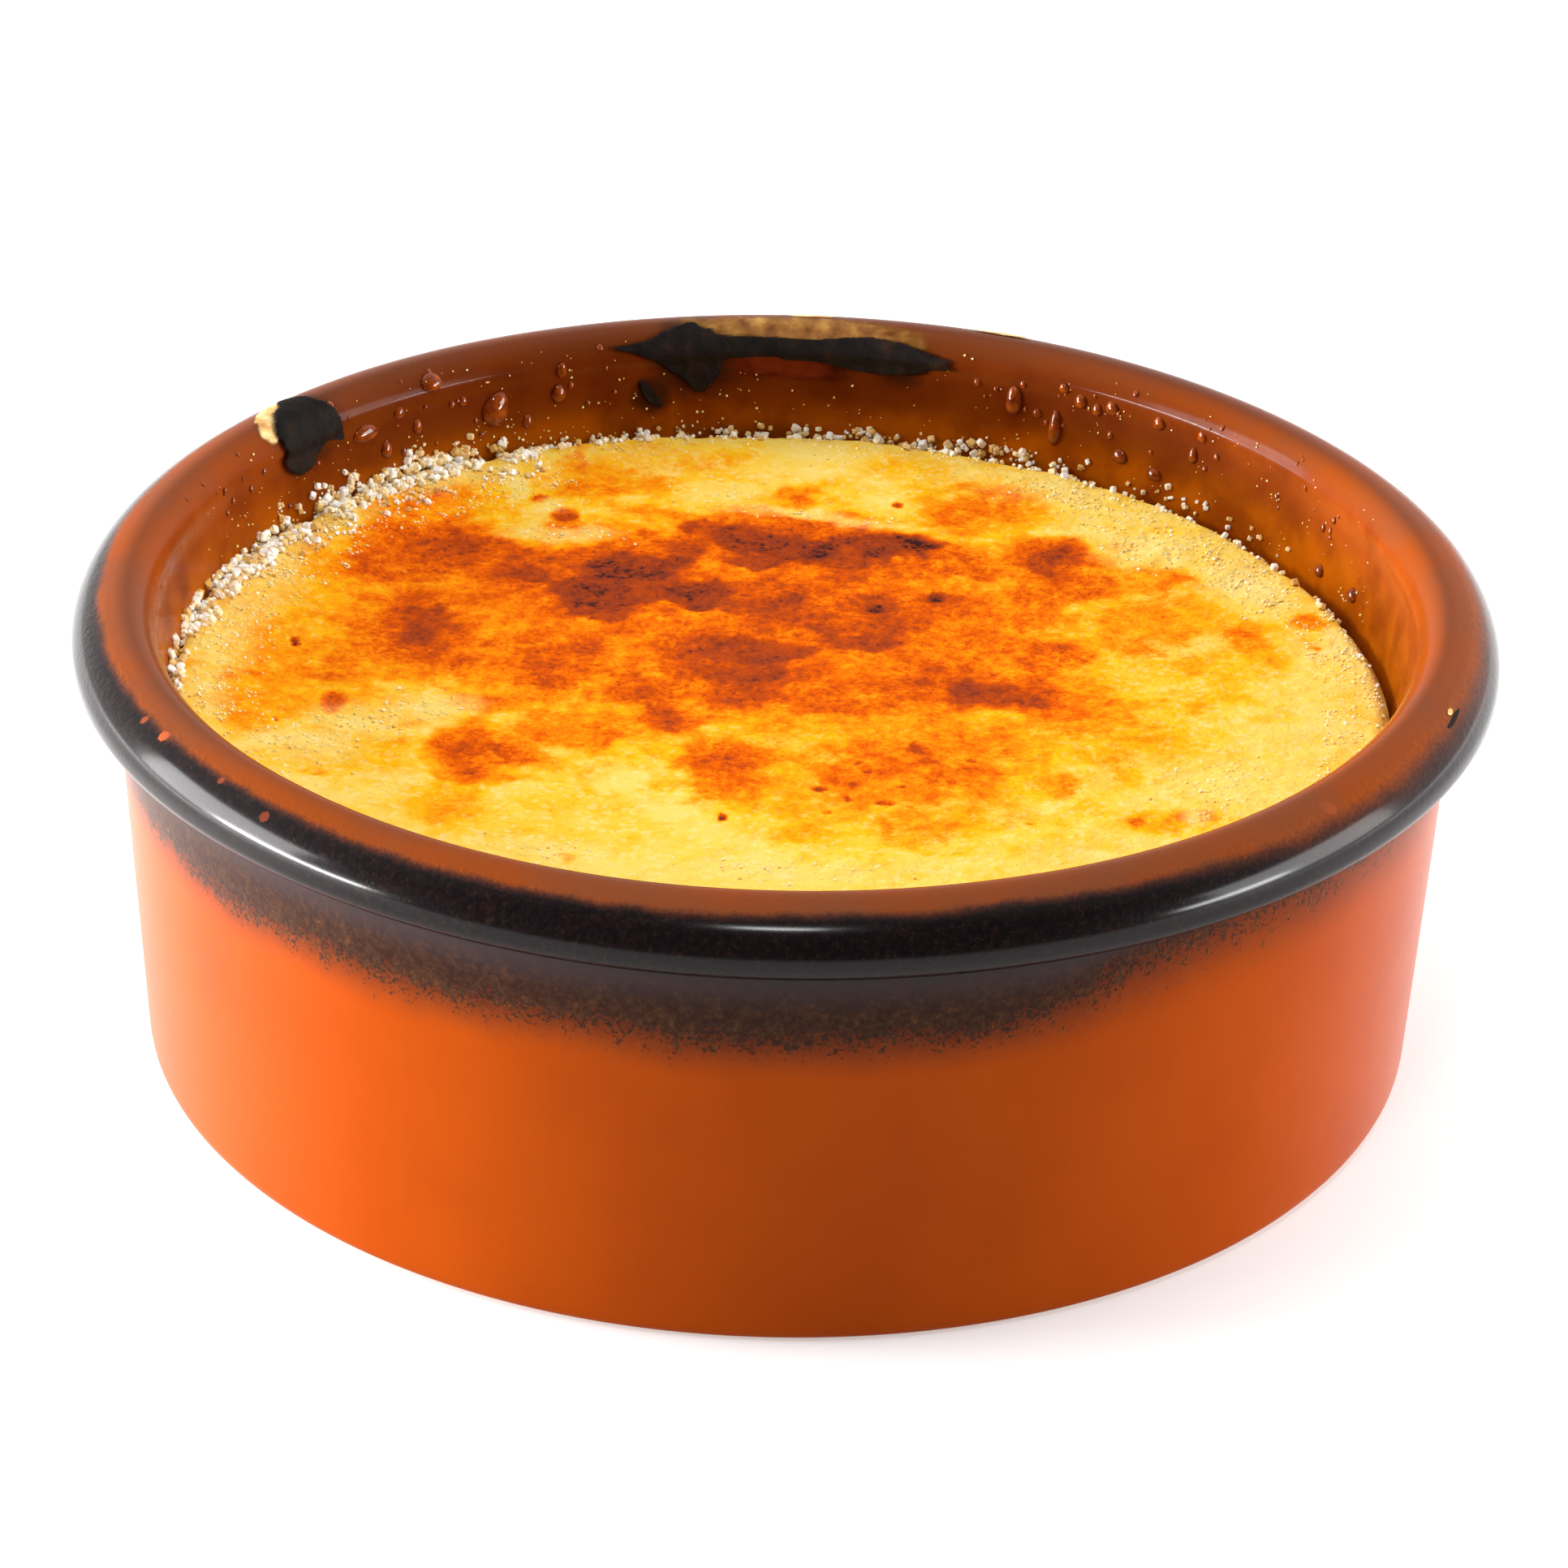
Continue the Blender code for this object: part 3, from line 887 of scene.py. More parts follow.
def gathered(marks, x, y, soft_start, soft_end, ragged=0.0):
    """The marks at a point added up softly, so that overlapping ones melt together."""
    total = 0.0
    for mark_x, mark_y, half_length, half_width, heat, *turned in marks:
        across = x - mark_x
        along = y - mark_y
        reach = soft_end * max(half_length, half_width)
        if abs(across) > reach or abs(along) > reach:
            continue
        turn = math.radians(sum(turned))
        length = (across * math.cos(turn) + along * math.sin(turn)) / half_length
        width = (along * math.cos(turn) - across * math.sin(turn)) / half_width
        distance = math.hypot(length, width) * (1 + ragged)
        if distance < soft_end:
            share = min(1.0, (soft_end - distance) / (soft_end - soft_start))
            total += (heat * share * share * (3 - 2 * share)) ** MELTING
    return min(1.0, total ** (1 / MELTING))


def heat_at(x, y):
    """How far the flame took the sugar at a point."""
    wide_x, wide_y = frayed(x, y, 2.2, 1.0)
    plate_x, plate_y = frayed(x, y, 1.1, 0.9)
    spot_x, spot_y = frayed(x, y, 0.4, 0.4)
    spot = Vector((x, y, 80))
    ragged = 0.34 * noise.noise(spot / 3.6) + 0.22 * noise.noise(spot / 1.5)
    levels = (
        gathered(GOLDEN_WASH, wide_x, wide_y, 0.3, 1.4, ragged),
        gathered(AMBER_FIELDS, wide_x, wide_y, 0.5, 1.4, ragged),
        gathered(RED_BROWN, plate_x, plate_y, 0.45, 1.4, ragged),
        gathered(CARAMEL_PLATES, plate_x, plate_y, 0.55, 1.35, ragged),
        gathered(FLAME_SPOTS, spot_x, spot_y, 0.4, 1.4, 0.6 * ragged),
    )
    return min(1.0, sum(level**MELTING for level in levels) ** (1 / MELTING))


def frost_at(x, y):
    """How much unmelted sugar lies at a point."""
    frost_x, frost_y = frayed(x, y, 1.8, 0.9)
    return gathered(SUGAR_FROST, frost_x, frost_y, 0.2, 1.35)


# %% Divide the disc evenly
DISC_CUTS = (4, 4, 5)
SIDE_DROPS = (1.5, 4.0, 8.0, 8.0)

bpy.ops.object.select_all(action="DESELECT")
bpy.ops.mesh.primitive_circle_add(
    vertices=6,
    radius=inner_radius(CUSTARD_LEVEL) * MM,
    fill_type="TRIFAN",
    location=(0, 0, CUSTARD_LEVEL * MM),
)
custard = name_new("custard_crust")
bpy.ops.object.transform_apply(location=True, rotation=True, scale=True)
start_editing(custard)
for cuts in DISC_CUTS:
    bpy.ops.mesh.subdivide(number_cuts=cuts)
bpy.ops.mesh.select_all(action="SELECT")
bpy.ops.mesh.region_to_loop()
for drop in SIDE_DROPS:
    bpy.ops.mesh.extrude_edges_move(TRANSFORM_OT_translate={"value": (0, 0, -drop * MM)})
bpy.ops.mesh.extrude_edges_move()
bpy.ops.mesh.merge(type="CENTER")
stop_editing()


# %% Push the hexagon out to a circle and raise the crust
def hexagon_share(x, y):
    """0 in the middle of the hexagon and 1 all along its border."""
    reach = max(
        x * math.cos(math.radians(side)) + y * math.sin(math.radians(side)) for side in range(0, 360, 60)
    )
    return reach / (inner_radius(CUSTARD_LEVEL) * math.cos(math.radians(30)))


def shape_custard():
    """Moves every point of the disc to its place, and returns the heat and frost there."""
    heats = []
    frosts = []
    for vertex in custard.data.vertices:
        x, y, z = vertex.co / MM
        angle = math.atan2(y, x)
        share = hexagon_share(x, y)
        if z < CUSTARD_LEVEL - 0.01:
            radius = inner_radius(z) - SETTING_GAP if share > 0.5 else 0.0
            vertex.co = Vector((radius * math.cos(angle), radius * math.sin(angle), z)) * MM
            heats.append(0.0)
            frosts.append(0.0)
            continue
        radius = share * custard_edge(angle)
        x, y = radius * math.cos(angle), radius * math.sin(angle)
        heat = heat_at(x, y)
        frost = frost_at(x, y)
        heat *= 1 - 0.5 * frost
        spot = Vector((x, y, 0))
        ripple = 0.16 * noise.noise(spot / 3.2) + 0.07 * noise.noise(spot / 1.2)
        grain = (0.05 + 0.14 * frost) * noise.noise(spot / 0.75)
        sunk = 0.22 * max(0.0, heat - 0.55) / 0.45
        z = crust_height(x, y) + ripple + grain - sunk
        vertex.co = Vector((x, y, z)) * MM
        heats.append(heat)
        frosts.append(frost)
    return heats, frosts


def paint(piece, name, values):
    """Stores one number on each point of a piece, for its finish to read."""
    layer = piece.data.attributes.new(name, "FLOAT", "POINT")
    layer.data.foreach_set("value", values)


crust_heat, crust_frost = shape_custard()
paint(custard, "scorch", crust_heat)
paint(custard, "frost", crust_frost)
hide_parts("custard")
print("hottest point", round(max(crust_heat), 2), "points", len(crust_heat))

# %% [markdown]
# ## A scorched sugar crust
#
# The colour runs along one scale of heat, from cream through amber to char. The painted
# heat gives the big shapes, and noise of several sizes frays it, as the grains of sugar
# did. The darkest plates are calmer, because there the sugar melted together. Browned
# parts are glassier than plain custard.

# %% The crust's finish
HEAT_COLOURS = [
    (0.00, (0.81, 0.55, 0.10)),
    (0.12, (0.82, 0.50, 0.045)),
    (0.24, (0.82, 0.41, 0.008)),
    (0.36, (0.81, 0.30, 0.005)),
    (0.46, (0.79, 0.195, 0.004)),
    (0.56, (0.70, 0.110, 0.003)),
    (0.65, (0.55, 0.074, 0.003)),
    (0.75, (0.41, 0.054, 0.005)),
    (0.84, (0.30, 0.040, 0.006)),
    (0.92, (0.22, 0.031, 0.009)),
    (1.00, (0.035, 0.011, 0.009)),
]
PALE_CREAM = (0.83, 0.61, 0.17)
FROST_WHITE = (0.80, 0.66, 0.30)

crust = Finish("scorched_crust")
heat = crust.painted("scorch")
frost = crust.painted("frost")
coarse = crust.noise(2.6, 4, roughness=0.6)
middling = crust.noise(0.9, 3, roughness=0.7)
fine = crust.noise(0.35, 2, roughness=0.7)
pepper = crust.rise(crust.noise(0.6, 1, shift=9.0), 0.58, 0.70)
grain_tone = crust.cells(0.6, "Color")
patchy = crust.noise(6.0, 3, shift=5.0)
calm = 1 - crust.rise(heat, 0.62, 0.85) * 0.5
burn = heat + (coarse - 0.5) * (heat * 0.60 + 0.24) * calm
burn = burn + (patchy - 0.5) * crust.rise(heat, 0.15, 0.40) * calm * 0.30
burn = burn + (middling - 0.5) * (heat * 0.46 + 0.18) * calm
burn = burn + (fine - 0.5) * (heat * 0.30 + 0.10) * calm
burn = burn + (grain_tone - 0.5) * (heat * 0.08 + 0.05)
burn = burn + pepper * crust.rise(heat, 0.42, 0.60) * calm * 0.13
colour = crust.ramp(burn.clamped(), HEAT_COLOURS)
cool = 1 - crust.rise(burn, 0.12, 0.42)
pale = crust.rise(crust.noise(5.5, 4, shift=2.0), 0.48, 0.70)
colour = crust.blend(pale * cool * 0.6, colour, PALE_CREAM)
# Painted glints: small cells of sugar white on the pale crust, partly white grains of sugar and partly
# painted sparkle.
painted_glints = crust.rise(crust.cells(0.5, "Color"), 0.70, 0.78)
colour = crust.blend(painted_glints * cool * 0.32, colour, FROST_WHITE)
grains = 1 - crust.rise(crust.cells(0.75), 0.12, 0.42)
colour = crust.blend((frost * (grains * 0.6 + 0.35)).clamped(), colour, FROST_WHITE)
crust.set(
    Base_Color=colour,
    Roughness=(0.50 - burn * 0.22 + (middling - 0.5) * 0.25).at_least(0.15),
    Specular_IOR_Level=0.0,
    Coat_Weight=crust.rise(burn, 0.55, 0.90) * 0.09 + 0.005,
    Coat_Roughness=0.22,
    Coat_IOR=1.4,
)
crust.bump(coarse * 0.12 + middling * 0.12 + fine * 0.05 + grains * (0.03 + frost * 0.16))
dress(custard, crust)

# %% [markdown]
# ## Sugar that did not melt
#
# Under the rim the flame did not reach, and white grains are left: a bank along the far
# left wall, a thin line at the back, and a dusting on the right. One crystal is modelled,
# a cube with its edges bevelled, and copied thousands of times into one mesh, each copy
# turned and stretched by chance. It has few faces, because it is a fraction of a
# millimetre across. Grains that are half sunk in the crust need fewer still, so they are
# copies of a small ball. Each copy is painted with a shade of its own.

# %% Model one crystal and one crumb
bpy.ops.object.select_all(action="DESELECT")
bpy.ops.mesh.primitive_cube_add(size=1.0)
crystal = name_new("crystal_model")
start_editing(crystal)
bpy.ops.mesh.bevel(offset=0.16, segments=1, affect="EDGES")
stop_editing()
bpy.ops.mesh.primitive_ico_sphere_add(subdivisions=1, radius=0.5)
crumb = name_new("crumb_model")
print("a crystal has", len(crystal.data.polygons), "faces")


# %% Copy a model many times into one mesh
def copies_of(name, model, places):
    """One mesh made of a copy of the model at each placing matrix, in millimetres."""
    points = np.array([tuple(v.co) for v in model.data.vertices])
    faces = [list(p.vertices) for p in model.data.polygons]
    all_points = []
    all_faces = []
    shades = []
    for number, place in enumerate(places):
        turn = np.array(place.to_3x3())
        all_points.append((points @ turn.T + np.array(place.translation)) * MM)
        first = number * len(points)
        all_faces.extend([first + i for i in face] for face in faces)
        shades.extend([chance.random()] * len(points))
    mesh = bpy.data.meshes.new(name)
    mesh.from_pydata(np.concatenate(all_points).tolist(), [], all_faces)
    mesh.update()
    piece = bpy.data.objects.new(name, mesh)
    bpy.context.scene.collection.objects.link(piece)
    paint(piece, "shade", shades)
    return piece


def tumbled(point, size):
    """A placing matrix at a point, turned any way and stretched a little."""
    turn = Euler([chance.uniform(0, math.tau) for _ in range(3)]).to_matrix().to_4x4()
    stretch = Matrix.Diagonal([size * chance.uniform(0.7, 1.25) for _ in range(3)] + [1.0])
    return Matrix.Translation(point) @ turn @ stretch


# %% Where the sugar lies
# The way in to the foot of the open wall, where the crust begins. The search starts a few
# points past the crest, where the section goes steadily down.
down_from = crest_index + 8
WALL_FOOT_WAY = float(np.interp(-CUSTARD_LEVEL, -section_line[down_from:, 1], way_in[down_from:]))

# Each bank: from angle, to angle, from and to distance, count, smallest and largest grain.
CRUST_BANKS = [
    (116, 172, 0.0, 2.0, 1250, 0.16, 0.72),
    (172, 204, 0.0, 1.1, 420, 0.16, 0.62),
    (118, 165, 1.0, 5.0, 400, 0.16, 0.56),
    (55, 116, 0.0, 1.3, 300, 0.18, 0.66),
    (-20, 55, 0.0, 0.9, 130, 0.18, 0.60),
]
# Grains that are half sunk in the crust.
SUNK_BANKS = [
    (116, 206, 0.8, 8.0, 1500, 0.16, 0.36),
    (-28, 60, 0.0, 5.5, 1500, 0.16, 0.40),
    (60, 116, 0.0, 2.5, 420, 0.16, 0.36),
    (206, 250, 0.3, 7.0, 260, 0.16, 0.34),
]
WALL_BANKS = [
    (120, 182, 0.0, 1.8, 1100, 0.18, 0.76),
    (124, 150, 1.2, 3.6, 300, 0.18, 0.70),
    (60, 120, -0.3, 0.9, 300, 0.20, 0.70),
    (30, 60, 0.0, 1.5, 50, 0.25, 0.50),
]
WALL_DUST = [
    (15, 165, 0.5, 9.5, 620, 0.10, 0.26),
    (95, 165, -0.5, 4.5, 260, 0.12, 0.30),
]
CLUMP_SIZE = 2.2
CLUMP_SPREAD = 0.24
# How far a grain's middle stands above the crust, as a share of its size.
PROUD = 0.30
SUNK = 0.05
# Grains on a patch of frost: how many for its size, the fewest, and their sizes.
FROST_GRAINS = 3.0
FEWEST_GRAINS = 6
FROST_GRAIN_SIZES = (0.16, 0.38)


def clumped(point, strictness):
    """Whether noise lets a grain lie here, so that grains gather in clumps."""
    return noise.noise(point / CLUMP_SIZE) + chance.uniform(-CLUMP_SPREAD, CLUMP_SPREAD) > strictness


def grain_size(smallest, largest):
    """A size picked by chance, more often a small one."""
    return smallest + (largest - smallest) * chance.random() ** 2


def on_crust(x, y, size, proud):
    """The middle of a grain that lies on the crust."""
    return Vector((x, y, crust_height(x, y) + proud * size))


def scatter_on_crust(banks, strictness, proud=PROUD):
    """Placing matrices of the grains on the crust, measured inwards from its edge."""
    placed = []
    for start, end, near, far, count, smallest, largest in banks:
        for _ in range(count):
            angle = math.radians(chance.uniform(start, end))
            radius = custard_edge(angle) - chance.uniform(near, far)
            size = grain_size(smallest, largest)
            point = on_crust(radius * math.cos(angle), radius * math.sin(angle), size, proud)
            if clumped(point, strictness):
                placed.append(tumbled(point, size))
    return placed


def scatter_on_wall(banks, strictness):
    """Placing matrices of the grains on the wall, measured up from the crust."""
    placed = []
    for start, end, near, far, count, smallest, largest in banks:
        for _ in range(count):
            angle = chance.uniform(start, end)
            rise_up = near + (far - near) * chance.random() ** 1.5
            size = grain_size(smallest, largest)
            point = on_dish(angle, WALL_FOOT_WAY - rise_up, 0.3 * size)
            if clumped(point, strictness):
                placed.append(tumbled(point, size))
    return placed


def scatter_on_frost():
    """Small grains on the patches of unmelted sugar."""
    placed = []
    for x, y, half_length, half_width, strength, *turned in SUGAR_FROST:
        count = int(FROST_GRAINS * half_length * half_width * strength) + FEWEST_GRAINS
        for _ in range(count):
            across = chance.gauss(0, 0.5) * half_length
            along = chance.gauss(0, 0.5) * half_width
            offset = Vector((across, along, 0))
            offset.rotate(Euler((0, 0, math.radians(sum(turned)))))
            grain_x, grain_y = x + offset.x, y + offset.y
            if math.hypot(grain_x, grain_y) < custard_edge(math.atan2(grain_y, grain_x)) - 0.3:
                size = chance.uniform(*FROST_GRAIN_SIZES)
                placed.append(tumbled(on_crust(grain_x, grain_y, size, SUNK), size))
    return placed


sugar = copies_of(
    "sugar_crystals", crystal, scatter_on_crust(CRUST_BANKS, -0.05) + scatter_on_wall(WALL_BANKS, -0.05)
)
sunk = scatter_on_frost() + scatter_on_crust(SUNK_BANKS, -0.05, SUNK)
dust = copies_of("sugar_dust", crumb, sunk + scatter_on_wall(WALL_DUST, 0.0))
bpy.data.objects.remove(crystal)

# %% [markdown]
# ## Sugar's finish
#
# A sugar crystal is clear and looks white only because its faces and cracks scatter the
# light. Glass needs many light bounces for grains this small, so the grain is opaque
# instead. Its shade is picked by chance, from the gold of what lies behind it to the
# white of a sparkle, and its faces are smooth.

# %% The sugar's finish
OWN_SHADE = 0.8


def sugar_of(name, shades):
    """A finish for sugar, with its shades from grain to grain."""
    finish = Finish(name)
    cloudiness = finish.noise(0.5, 2)
    finish.set(
        Base_Color=finish.ramp(finish.painted("shade") * OWN_SHADE + cloudiness * (1 - OWN_SHADE), shades),
        Roughness=0.08 + cloudiness * 0.22,
        IOR=1.54,
    )
    finish.bump(cloudiness * 0.03)
    return finish


LOOSE_SHADES = [(0.18, (0.72, 0.44, 0.12)), (0.42, (0.94, 0.78, 0.44)), (0.68, (1.0, 0.98, 0.90))]
SUNK_SHADES = [(0.20, (0.88, 0.60, 0.15)), (0.55, (0.92, 0.74, 0.30)), (0.85, (1.0, 0.92, 0.62))]
loose_sugar = sugar_of("loose_sugar", LOOSE_SHADES)
sunk_sugar = sugar_of("sunk_sugar", SUNK_SHADES)


def dress_flat(piece, finish):
    """As dress, but with flat facets, as a crystal has."""
    dress(piece, finish)
    bpy.ops.object.shade_flat()


dress_flat(sugar, loose_sugar)
dress_flat(dust, sunk_sugar)
bpy.data.objects.remove(crumb)

# %% [markdown]
# ## Things that cling to the rim
#
# Where the flame licked the rim, spilt sugar charred into black crusts and custard dried
# into pale skins. Each is a thin closed patch that follows the dish. A ball is the start:
# its upper half becomes the patch's uneven back, its lower half goes just under the
# glaze, and its girdle is drawn out to an outline given as angles and ways in. Each point
# is painted with how far inside the outline it is, so that a finish can thin out there.

# %% A patch that follows the dish
PATCH_SPOKES = 96
PATCH_RINGS = 24
# Millimetres round the rim for each degree.
RIM_REACH = ROLL_CENTRE[0] * math.pi / 180
# How far the patch goes under the glaze, in millimetres.
ROOT = 0.12


def smooth_outline(corners):
    """PATCH_SPOKES points on a closed smooth curve through the corners."""
    points = [Vector(corner) for corner in corners]
    count = len(points)
    curve = []
    for spoke in range(PATCH_SPOKES):
        position = spoke / PATCH_SPOKES * count
        index = int(position)
        t = position - index
        before, start, end, after = (points[(index + step - 1) % count] for step in range(4))
        curve.append(0.5 * (
            2 * start + (end - before) * t + (2 * before - 5 * start + 4 * end - after) * t**2
            + (3 * start - before - 3 * end + after) * t**3
        ))
    return curve


def clinging_patch(name, corners, thickness, roughness=0.3, lump_size=1.2, ragged=0.25):
    """A closed patch on the dish. Corners are (angle, way in) and thickness is in mm."""
    curve = smooth_outline([(angle * RIM_REACH, way) for angle, way in corners])
    middle = sum(curve, Vector((0, 0))) / len(curve)
    bpy.ops.object.select_all(action="DESELECT")
    bpy.ops.mesh.primitive_uv_sphere_add(segments=PATCH_SPOKES, ring_count=PATCH_RINGS, radius=1.0)
    piece = name_new(name)
    insides = []
    for vertex in piece.data.vertices:
        x, y, z = vertex.co
        reach = min(1.0, math.hypot(x, y))
        insides.append(1 - reach)
        spoke = (math.atan2(y, x) / math.tau) % 1.0 * PATCH_SPOKES
        first = curve[int(spoke) % PATCH_SPOKES]
        second = curve[(int(spoke) + 1) % PATCH_SPOKES]
        rim_point = first.lerp(second, spoke - int(spoke))
        fray = 1 + ragged * noise.noise(Vector((*rim_point, 5.0)) / 0.9) * 0.35
        spot = middle + (rim_point - middle) * reach * fray
        lumps = noise.noise(Vector((*spot, 1.0)) / lump_size)
        lumps += 0.5 * noise.noise(Vector((*spot, 9.0)) / (0.4 * lump_size))
        lift = -ROOT * abs(z)
        if z > 0:
            lift = thickness * min(1.0, abs(z) * 2.2) * (1 + roughness * lumps)
        vertex.co = on_dish(spot.x / RIM_REACH, spot.y, lift) * MM
    start_editing(piece)
    stop_editing()
    paint(piece, "inside", insides)
    return piece


def thin_edge(finish, clouds, start, end):
    """Lets a patch's finish thin out to nothing at its edge."""
    inside = finish.painted("inside") + (clouds - 0.5) * 0.25
    finish.set(Alpha=finish.rise(inside, start, end))


def joined(name, pieces):
    """Several patches of one kind made into one piece."""
    bpy.ops.object.select_all(action="DESELECT")
    for piece in pieces:
        piece.select_set(True)
    bpy.context.view_layer.objects.active = pieces[0]
    bpy.ops.object.join()
    return name_new(name)


# %% Charred sugar on the rim
CHAR_COLOURS = [(0.35, (0.003, 0.002, 0.002)), (0.55, (0.008, 0.005, 0.004)), (0.80, (0.030, 0.011, 0.004))]
SPILL_BLOB = [
    (108.5, 2.5), (104.6, 2.0), (102.0, 0.8), (99.8, 0.5), (97.8, 1.5), (96.0, 2.6), (96.3, 3.8),
    (96.9, 4.9), (97.5, 6.4), (99.1, 7.7), (100.7, 6.5), (102.6, 5.1), (104.2, 3.9), (106.4, 3.2),
]
SPILL_STREAK = [
    (98.0, 2.2), (92.0, 2.2), (87.6, 2.3), (83.0, 1.8), (79.9, 2.0), (76.7, 2.6), (72.7, 3.5),
    (75.0, 4.5), (78.0, 5.3), (81.0, 5.4), (84.4, 5.1), (87.5, 4.5), (90.7, 4.3), (93.8, 3.6),
    (97.5, 4.0),
]
LEFT_BLOB = [
    (147.9, 1.0), (144.4, -1.1), (142.1, -0.7), (141.0, 0.7), (139.9, 2.1), (139.2, 4.2), (139.5, 5.1),
    (141.7, 4.6), (143.3, 5.5), (144.4, 6.5), (146.4, 6.6), (148.1, 5.5), (148.2, 3.8), (148.7, 2.3),
]
SMALL_BLOT = [(105.5, 6.0), (104.4, 6.4), (103.4, 8.0), (103.3, 8.6), (104.2, 8.4), (105.2, 7.4)]
RIM_CHAR = [(340.2, -3.0), (338.6, -3.25), (337.0, -3.3), (336.6, -3.05), (337.8, -2.95), (339.2, -2.8)]

char = joined("charred_sugar", [
    clinging_patch("spill_blob", SPILL_BLOB, 0.42),
    clinging_patch("spill_streak", SPILL_STREAK, 0.36),
    clinging_patch("left_blob", LEFT_BLOB, 0.50),
    clinging_patch("small_blot", SMALL_BLOT, 0.25),
    clinging_patch("rim_char", RIM_CHAR, 0.06),
])
char_finish = Finish("char")
char_grain = char_finish.noise(0.4, 4, roughness=0.7)
char_clouds = char_finish.noise(2.0, 3)
char_finish.set(
    Base_Color=char_finish.ramp(char_clouds, CHAR_COLOURS),
    Roughness=0.62 + (char_grain - 0.5) * 0.4,
    Specular_IOR_Level=0.12,
)
char_finish.bump(char_grain * 0.10 + char_clouds * 0.08)
thin_edge(char_finish, char_grain, 0.0, 0.12)
dress(char, char_finish)

# %% Custard dried on the rim
SKIN_COLOURS = [(0.30, (0.42, 0.17, 0.04)), (0.50, (0.66, 0.40, 0.14)), (0.72, (0.84, 0.66, 0.34))]
LEFT_CRESCENT = [
    (149.9, 2.6), (149.9, 1.0), (148.6, -0.5), (146.6, -1.6), (144.2, -2.0), (142.6, -1.5),
    (143.4, -0.4), (146.0, 0.6), (147.4, 1.8), (148.6, 2.8),
]
BACK_SPOT = [
    (73.2, -1.3), (71.8, -1.9), (69.8, -2.2), (67.8, -1.9), (66.8, -1.3), (68.4, -0.9), (71.0, -0.8),
]
PALE_SPOT = [(90.6, -0.9), (89.2, -1.3), (87.0, -1.3), (85.6, -0.9), (87.0, -0.6), (89.2, -0.6)]
RIGHT_SPOT = [(339.4, -2.4), (339.0, -2.7), (338.4, -2.7), (338.1, -2.5), (338.4, -2.3), (339.0, -2.2)]

skin = joined("dried_custard", [
    clinging_patch("left_crescent", LEFT_CRESCENT, 0.14, 0.4),
    clinging_patch("back_spot", BACK_SPOT, 0.12, 0.4),
    clinging_patch("pale_spot", PALE_SPOT, 0.08, 0.4),
    clinging_patch("right_spot", RIGHT_SPOT, 0.06, 0.4),
])
skin_finish = Finish("dried_custard")
skin_clouds = skin_finish.noise(1.6, 4)
skin_finish.set(
    Base_Color=skin_finish.ramp(skin_clouds, SKIN_COLOURS),
    Roughness=0.50 + (skin_clouds - 0.5) * 0.3,
    Specular_IOR_Level=0.2,
)
skin_finish.bump(skin_clouds * 0.10)
thin_edge(skin_finish, skin_clouds, 0.02, 0.22)
dress(skin, skin_finish)

# %% Thin films of caramel
RED_CARAMEL = [(0.30, (0.075, 0.006, 0.001)), (0.70, (0.15, 0.020, 0.002))]
GOLDEN_CARAMEL = [(0.30, (0.10, 0.030, 0.005)), (0.55, (0.24, 0.10, 0.018)), (0.75, (0.42, 0.22, 0.05))]
RED_FILM = [
    (98.0, 3.4), (94.0, 3.2), (88.0, 3.8), (84.0, 4.6), (83.2, 6.2), (88.0, 6.6), (93.0, 6.2),
    (97.0, 5.8),
]
BACK_EDGE = [
    (105.5, 0.8), (102.6, -0.6), (97.0, -0.9), (90.0, -0.9), (84.0, -0.6), (78.0, 0.2), (74.6, 1.2),
    (73.6, 2.6), (76.0, 2.9), (81.0, 2.6), (86.0, 3.0), (93.0, 2.8), (99.0, 2.2), (104.0, 2.4),
]

film = joined("caramel_film", [
    clinging_patch("back_edge", BACK_EDGE, 0.07, 0.3),
    clinging_patch("red_film", RED_FILM, 0.04, 0.3),
])
film_finish = Finish("caramel_film")
film_axes = film_finish.add("ShaderNodeSeparateXYZ", None, {0: film_finish.place})
film_height = Number(film_finish, film_axes.outputs["Z"]) / MM
film_clouds = film_finish.noise(1.8, 4)
film_tone = film_finish.rise(film_height + (film_clouds - 0.5) * 2.0, 38.2, 40.0)
low_film = film_finish.ramp(film_clouds, RED_CARAMEL)
high_film = film_finish.ramp(film_clouds, GOLDEN_CARAMEL)
film_finish.set(
    Base_Color=film_finish.blend(film_tone, low_film, high_film),
    Roughness=0.30 + film_clouds * 0.2,
    Specular_IOR_Level=0.12,
)
film_finish.bump(film_clouds * 0.10)
thin_edge(film_finish, film_clouds, 0.04, 0.55)
dress(film, film_finish)

# %% [markdown]
# ## Drops of caramel
#
# Boiling sugar spat on the wall and set as small glassy beads, some of them run into
# tears. One bead is modelled, a ball flattened where it clings and heavier below, and is
# copied to the places where the beads sit, plus a scatter of tiny ones.

# %% Model one bead
FULLER_BELOW = 0.35
FLAT_BACK = 0.35
THICKER_BELOW = 0.4

bpy.ops.object.select_all(action="DESELECT")
bpy.ops.mesh.primitive_uv_sphere_add(segments=20, ring_count=12, radius=0.5)
bead = name_new("bead_model")
start_editing(bead, "DESELECT")
stop_editing()
for vertex in bead.data.vertices:
    x, y, z = vertex.co
    depth = z if z > 0 else z * FLAT_BACK
    vertex.co = Vector((x * (1 + FULLER_BELOW * y), y, depth * (1 + THICKER_BELOW * y)))


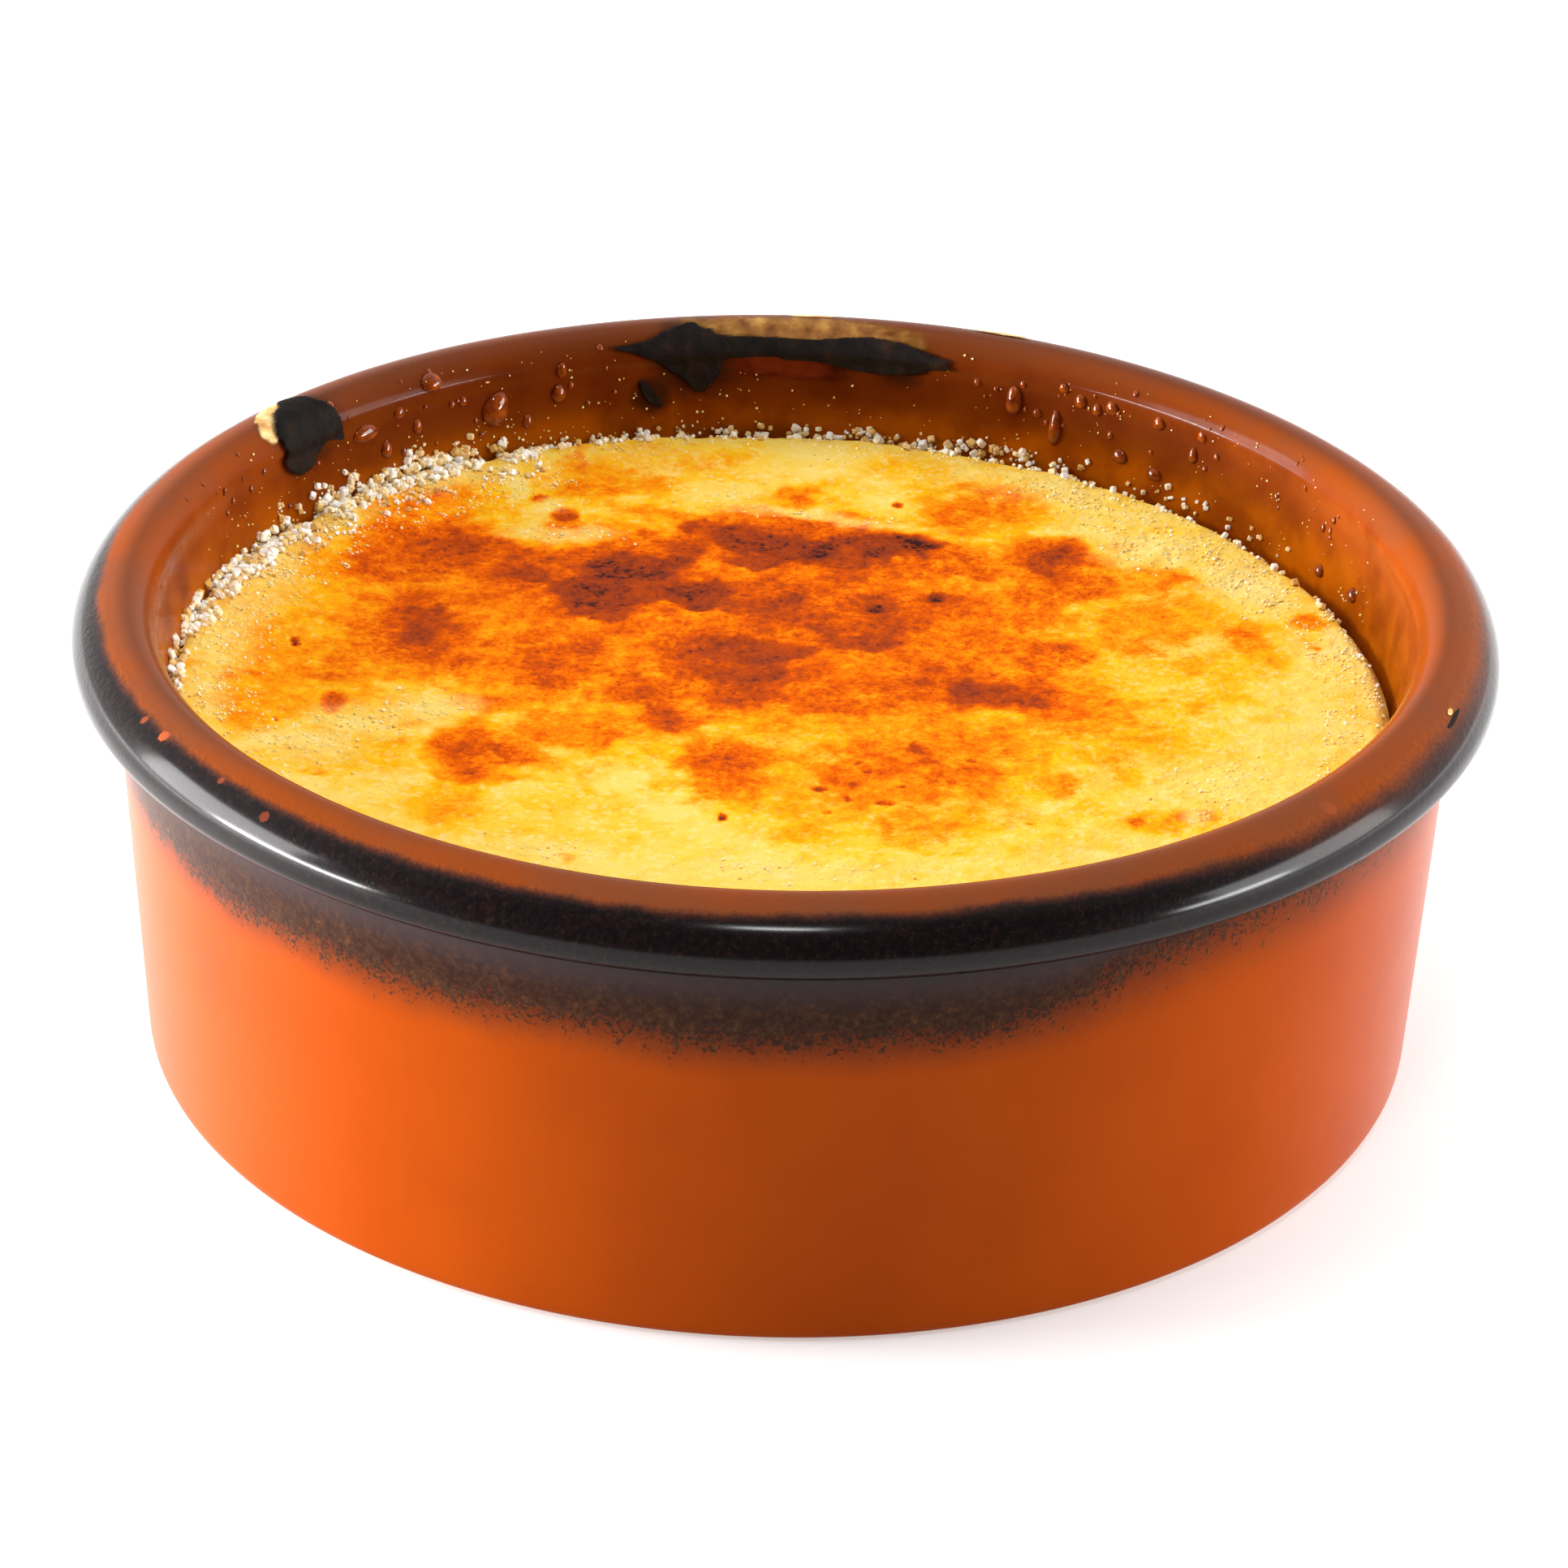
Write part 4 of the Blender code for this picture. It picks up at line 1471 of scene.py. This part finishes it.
# %% Place the beads
def clinging(angle, way, width, length, depth, turn_deg=0.0):
    """A placing matrix on the dish: width goes round it, length down into the bowl."""
    point = on_dish(angle, way)
    round_it = (on_dish(angle + 0.2, way) - point).normalized()
    down = (on_dish(angle, way + 0.1) - point).normalized()
    off = round_it.cross(down).normalized()
    if off.dot(on_dish(angle, way, 1.0) - point) < 0:
        off = -off
    axes = Matrix((round_it, down, off)).transposed().to_4x4()
    turn = Matrix.Rotation(math.radians(turn_deg), 4, "Z")
    return Matrix.Translation(point) @ axes @ turn @ Matrix.Diagonal((width, length, depth, 1.0))


# Each bead: angle, way in, width, length, depth and, where it leans, its turn.
BEADS = [
    (127.9, 2.6, 2.2, 1.8, 1.1), (120.9, 6.6, 2.6, 3.4, 1.6, -25), (113.6, 4.0, 1.0, 1.6, 0.9),
    (114.0, 6.2, 1.4, 1.8, 1.0), (136.4, 5.4, 3.0, 1.6, 1.0), (67.1, 6.0, 1.6, 2.8, 1.3),
    (61.8, 3.8, 1.0, 1.0, 0.7), (59.9, 4.7, 1.2, 1.4, 0.8), (58.0, 5.1, 1.0, 1.2, 0.7),
    (56.3, 4.5, 1.3, 1.5, 0.9), (50.7, 4.5, 1.2, 1.4, 0.9), (45.3, 4.3, 1.0, 1.2, 0.7),
    (62.4, 7.8, 1.3, 3.4, 1.2), (46.1, 6.3, 1.0, 1.6, 0.8), (54.8, 8.8, 1.6, 1.4, 0.9),
    (50.5, 9.4, 1.6, 1.2, 0.9), (25.4, 10.2, 1.2, 1.2, 0.9), (18.6, 9.8, 1.5, 1.4, 1.0),
    (64.5, 6.8, 0.9, 0.9, 0.6), (132.0, 4.6, 1.2, 1.2, 0.7), (130.0, 6.4, 1.0, 1.4, 0.7),
    (134.0, 7.6, 1.2, 1.6, 0.8), (124.5, 5.2, 0.8, 1.0, 0.6), (117.5, 8.4, 1.0, 1.4, 0.7),
]
SMALL_BEADS = 70
SMALL_BEAD_ARCS = ((20, 72), (108, 165))

places = [clinging(*one) for one in BEADS]
for _ in range(SMALL_BEADS):
    angle = chance.choice([chance.uniform(*ends) for ends in SMALL_BEAD_ARCS])
    size = chance.uniform(0.2, 0.7)
    way = chance.uniform(1.5, 9.0)
    places.append(clinging(angle, way, size, size * chance.uniform(1, 1.4), size * 0.7))
beads = copies_of("caramel_beads", bead, places)
bpy.data.objects.remove(bead)

# %% The caramel's finish
BEAD_COLOURS = [(0.30, (0.10, 0.012, 0.001)), (0.75, (0.30, 0.058, 0.004))]

bead_finish = Finish("caramel")
bead_clouds = bead_finish.noise(0.8, 2)
bead_finish.set(
    Base_Color=bead_finish.ramp(bead_clouds, BEAD_COLOURS),
    Roughness=0.04 + bead_clouds * 0.06,
    IOR=1.5,
)
bead_finish.bump(bead_clouds * 0.02)
dress(beads, bead_finish)
